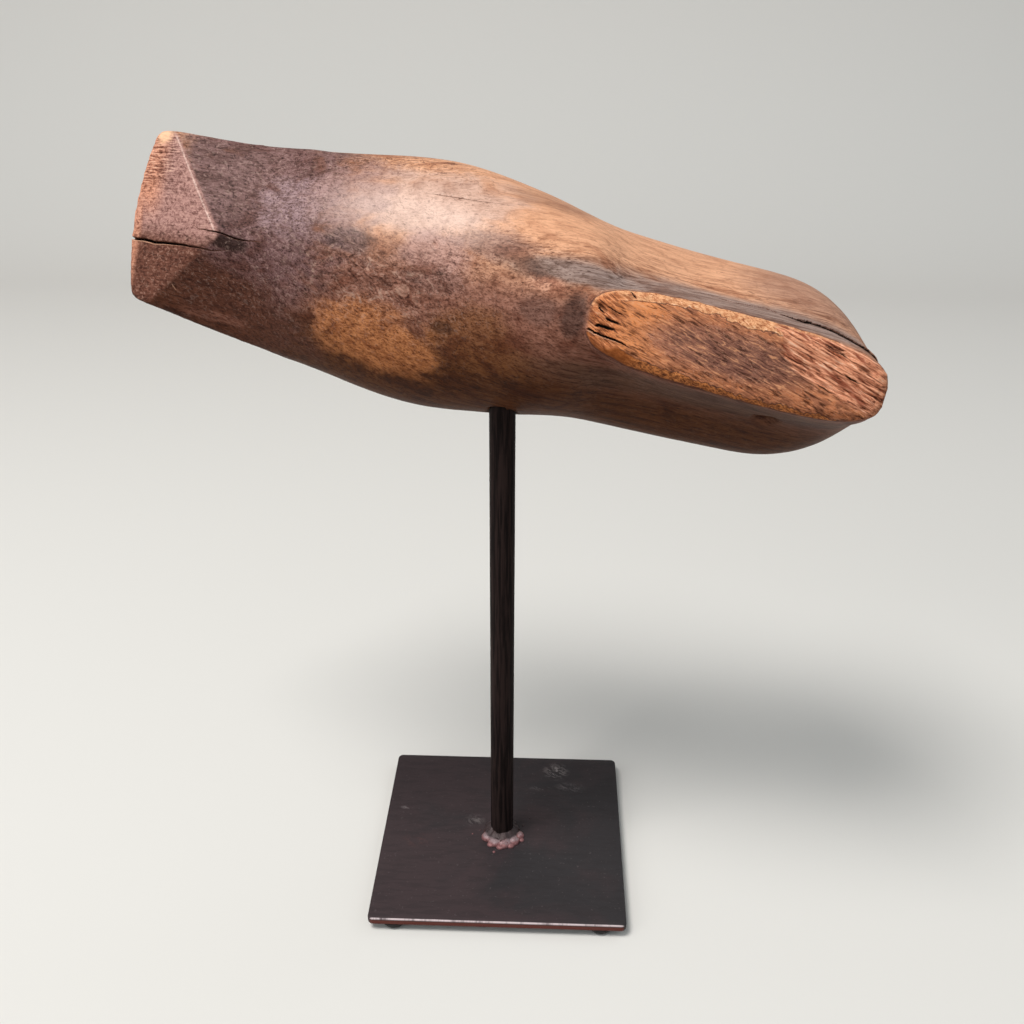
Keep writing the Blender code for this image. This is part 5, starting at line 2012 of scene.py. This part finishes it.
@dataclass
class Studio:
    """The pale floor and backdrop, the soft lights and the camera at the photograph's view.

    Attributes:
        floor_tone: the floor's colour as it is seen.
        bounce_tone: the colour of the light that it throws back on the object.
        pale_to: the kinds of ray that see the floor's own colour.
        floor_half, wall_height: half the floor's width, and how high the backdrop is.
        wall_at, bend: where the floor starts to rise, and over what length.
        aim: the point at which the lamps are aimed.
        camera_from_rod: how far the camera stands to the right and back of the rod.
    """

    floor_tone: Tone = (226, 226, 224)
    bounce_tone: Tone = (150, 134, 122)
    world_tone: Tone = (232, 240, 242)
    pale_to: tuple[str, ...] = ("Camera", "Glossy", "Transmission")
    floor_half: float = 2.5
    wall_at: float = 0.9
    wall_height: float = 3.0
    bend: float = 0.5
    bend_steps: int = 16
    world_strength: float = 0.42
    aim: Point = (0.0, 0.0, 0.20)
    lamps: tuple[Lamp, ...] = (
        Lamp("overhead", (-0.58, -0.46, 1.80), 0.75, 29.0, (255, 250, 244)),
        Lamp("front_left", (-1.30, -1.10, 0.95), 0.9, 5.5, (255, 252, 248)),
        Lamp("back_right", (1.00, 0.60, 1.20), 0.8, 2.0, (246, 250, 255)),
    )
    camera_from_rod: tuple[float, float] = (3.6 * MM, -377.0 * MM)
    camera_height: float = 345.1 * MM
    yaw_deg: float = 1.92
    pitch_deg: float = 26.19
    roll_deg: float = 0.28
    lens: float = 39.85
    sensor: float = 36.0

    def build(self) -> None:
        """Builds the floor, the lights and the camera."""
        self.build_floor()
        for lamp in self.lamps:
            self.build_lamp(lamp)
        self.build_world()
        self.build_camera()

    def build_floor(self) -> None:
        """A floor that bends up into a backdrop behind the object."""
        bm = bmesh.new()
        half = self.floor_half
        line = [bm.verts.new((-half, -half, 0.0)), bm.verts.new((-half, self.wall_at, 0.0))]
        for i in range(1, self.bend_steps + 1):
            angle = math.pi / 2 * i / self.bend_steps
            back, up = self.bend * math.sin(angle), self.bend * (1.0 - math.cos(angle))
            line.append(bm.verts.new((-half, self.wall_at + back, up)))
        line.append(bm.verts.new((-half, self.wall_at + self.bend, self.wall_height)))
        edges = [bm.edges.new(pair) for pair in zip(line, line[1:])]
        grown = bmesh.ops.extrude_edge_only(bm, edges=edges)["geom"]
        moved = [item for item in grown if isinstance(item, bmesh.types.BMVert)]
        bmesh.ops.translate(bm, verts=moved, vec=(2.0 * half, 0.0, 0.0))
        bmesh.ops.recalc_face_normals(bm, faces=bm.faces)
        mesh = bpy.data.meshes.new("studio_floor")
        bm.to_mesh(mesh)
        bm.free()
        mesh.shade_smooth()
        graph = Graph("studio_floor")
        rays = [graph.node("ShaderNodeLightPath", output=f"Is {kind} Ray") for kind in self.pale_to]
        seen = graph.blend(self.bounce_tone, self.floor_tone, rays[0].most(rays[1]).most(rays[2]))
        mesh.materials.append(graph.finish(Base_Color=seen, Roughness=0.9, Specular_IOR_Level=0.2))
        linked("studio_floor", mesh)

    def build_lamp(self, lamp: Lamp) -> None:
        """Hangs one soft light.

        Args:
            lamp: its place, size, power and tone.
        """
        data = bpy.data.lights.new(lamp.name, "AREA")
        data.shape = "SQUARE"
        data.size = lamp.side
        data.energy = lamp.power
        data.color = linear(lamp.tone)[:3]
        light = linked(lamp.name, data)
        light.location = lamp.place
        light.rotation_euler = (Vector(self.aim) - Vector(lamp.place)).to_track_quat("-Z", "Y").to_euler()

    def build_world(self) -> None:
        """An even, pale surround."""
        world = bpy.data.worlds.new("studio")
        world.use_nodes = True
        background = world.node_tree.nodes["Background"]
        background.inputs["Color"].default_value = linear(self.world_tone)
        background.inputs["Strength"].default_value = self.world_strength
        bpy.context.scene.world = world

    def build_camera(self) -> None:
        """The camera at the photograph's view, placed from the rod."""
        yaw = Matrix.Rotation(math.radians(self.yaw_deg), 3, "Z")
        pitch, roll = math.radians(self.pitch_deg), math.radians(self.roll_deg)
        place = on_rod_axis(0.0) + yaw @ Vector((*self.camera_from_rod, 0.0))
        place.z = self.camera_height
        forward = yaw @ Vector((0.0, math.cos(pitch), -math.sin(pitch)))
        level = yaw @ Vector((1.0, 0.0, 0.0))
        above = level.cross(forward)
        right = math.cos(roll) * level + math.sin(roll) * above
        up = -math.sin(roll) * level + math.cos(roll) * above
        turn = Matrix((right, up, -forward)).transposed().to_4x4()
        turn.translation = place
        data = bpy.data.cameras.new("photo_view")
        data.lens = self.lens
        data.sensor_width = self.sensor
        camera = linked("photo_view", data)
        camera.matrix_world = turn
        bpy.context.scene.camera = camera


def main() -> None:
    """Builds the studio, the stand and the last, and reports each piece."""
    bpy.context.scene.view_settings.view_transform = "Standard"
    Studio().build()
    pieces = [*Stand().build(), Wood().build()]
    for piece in pieces:
        LOG.info("%s: %d faces", piece.name, len(piece.data.polygons))


if __name__ == "__main__":
    main()
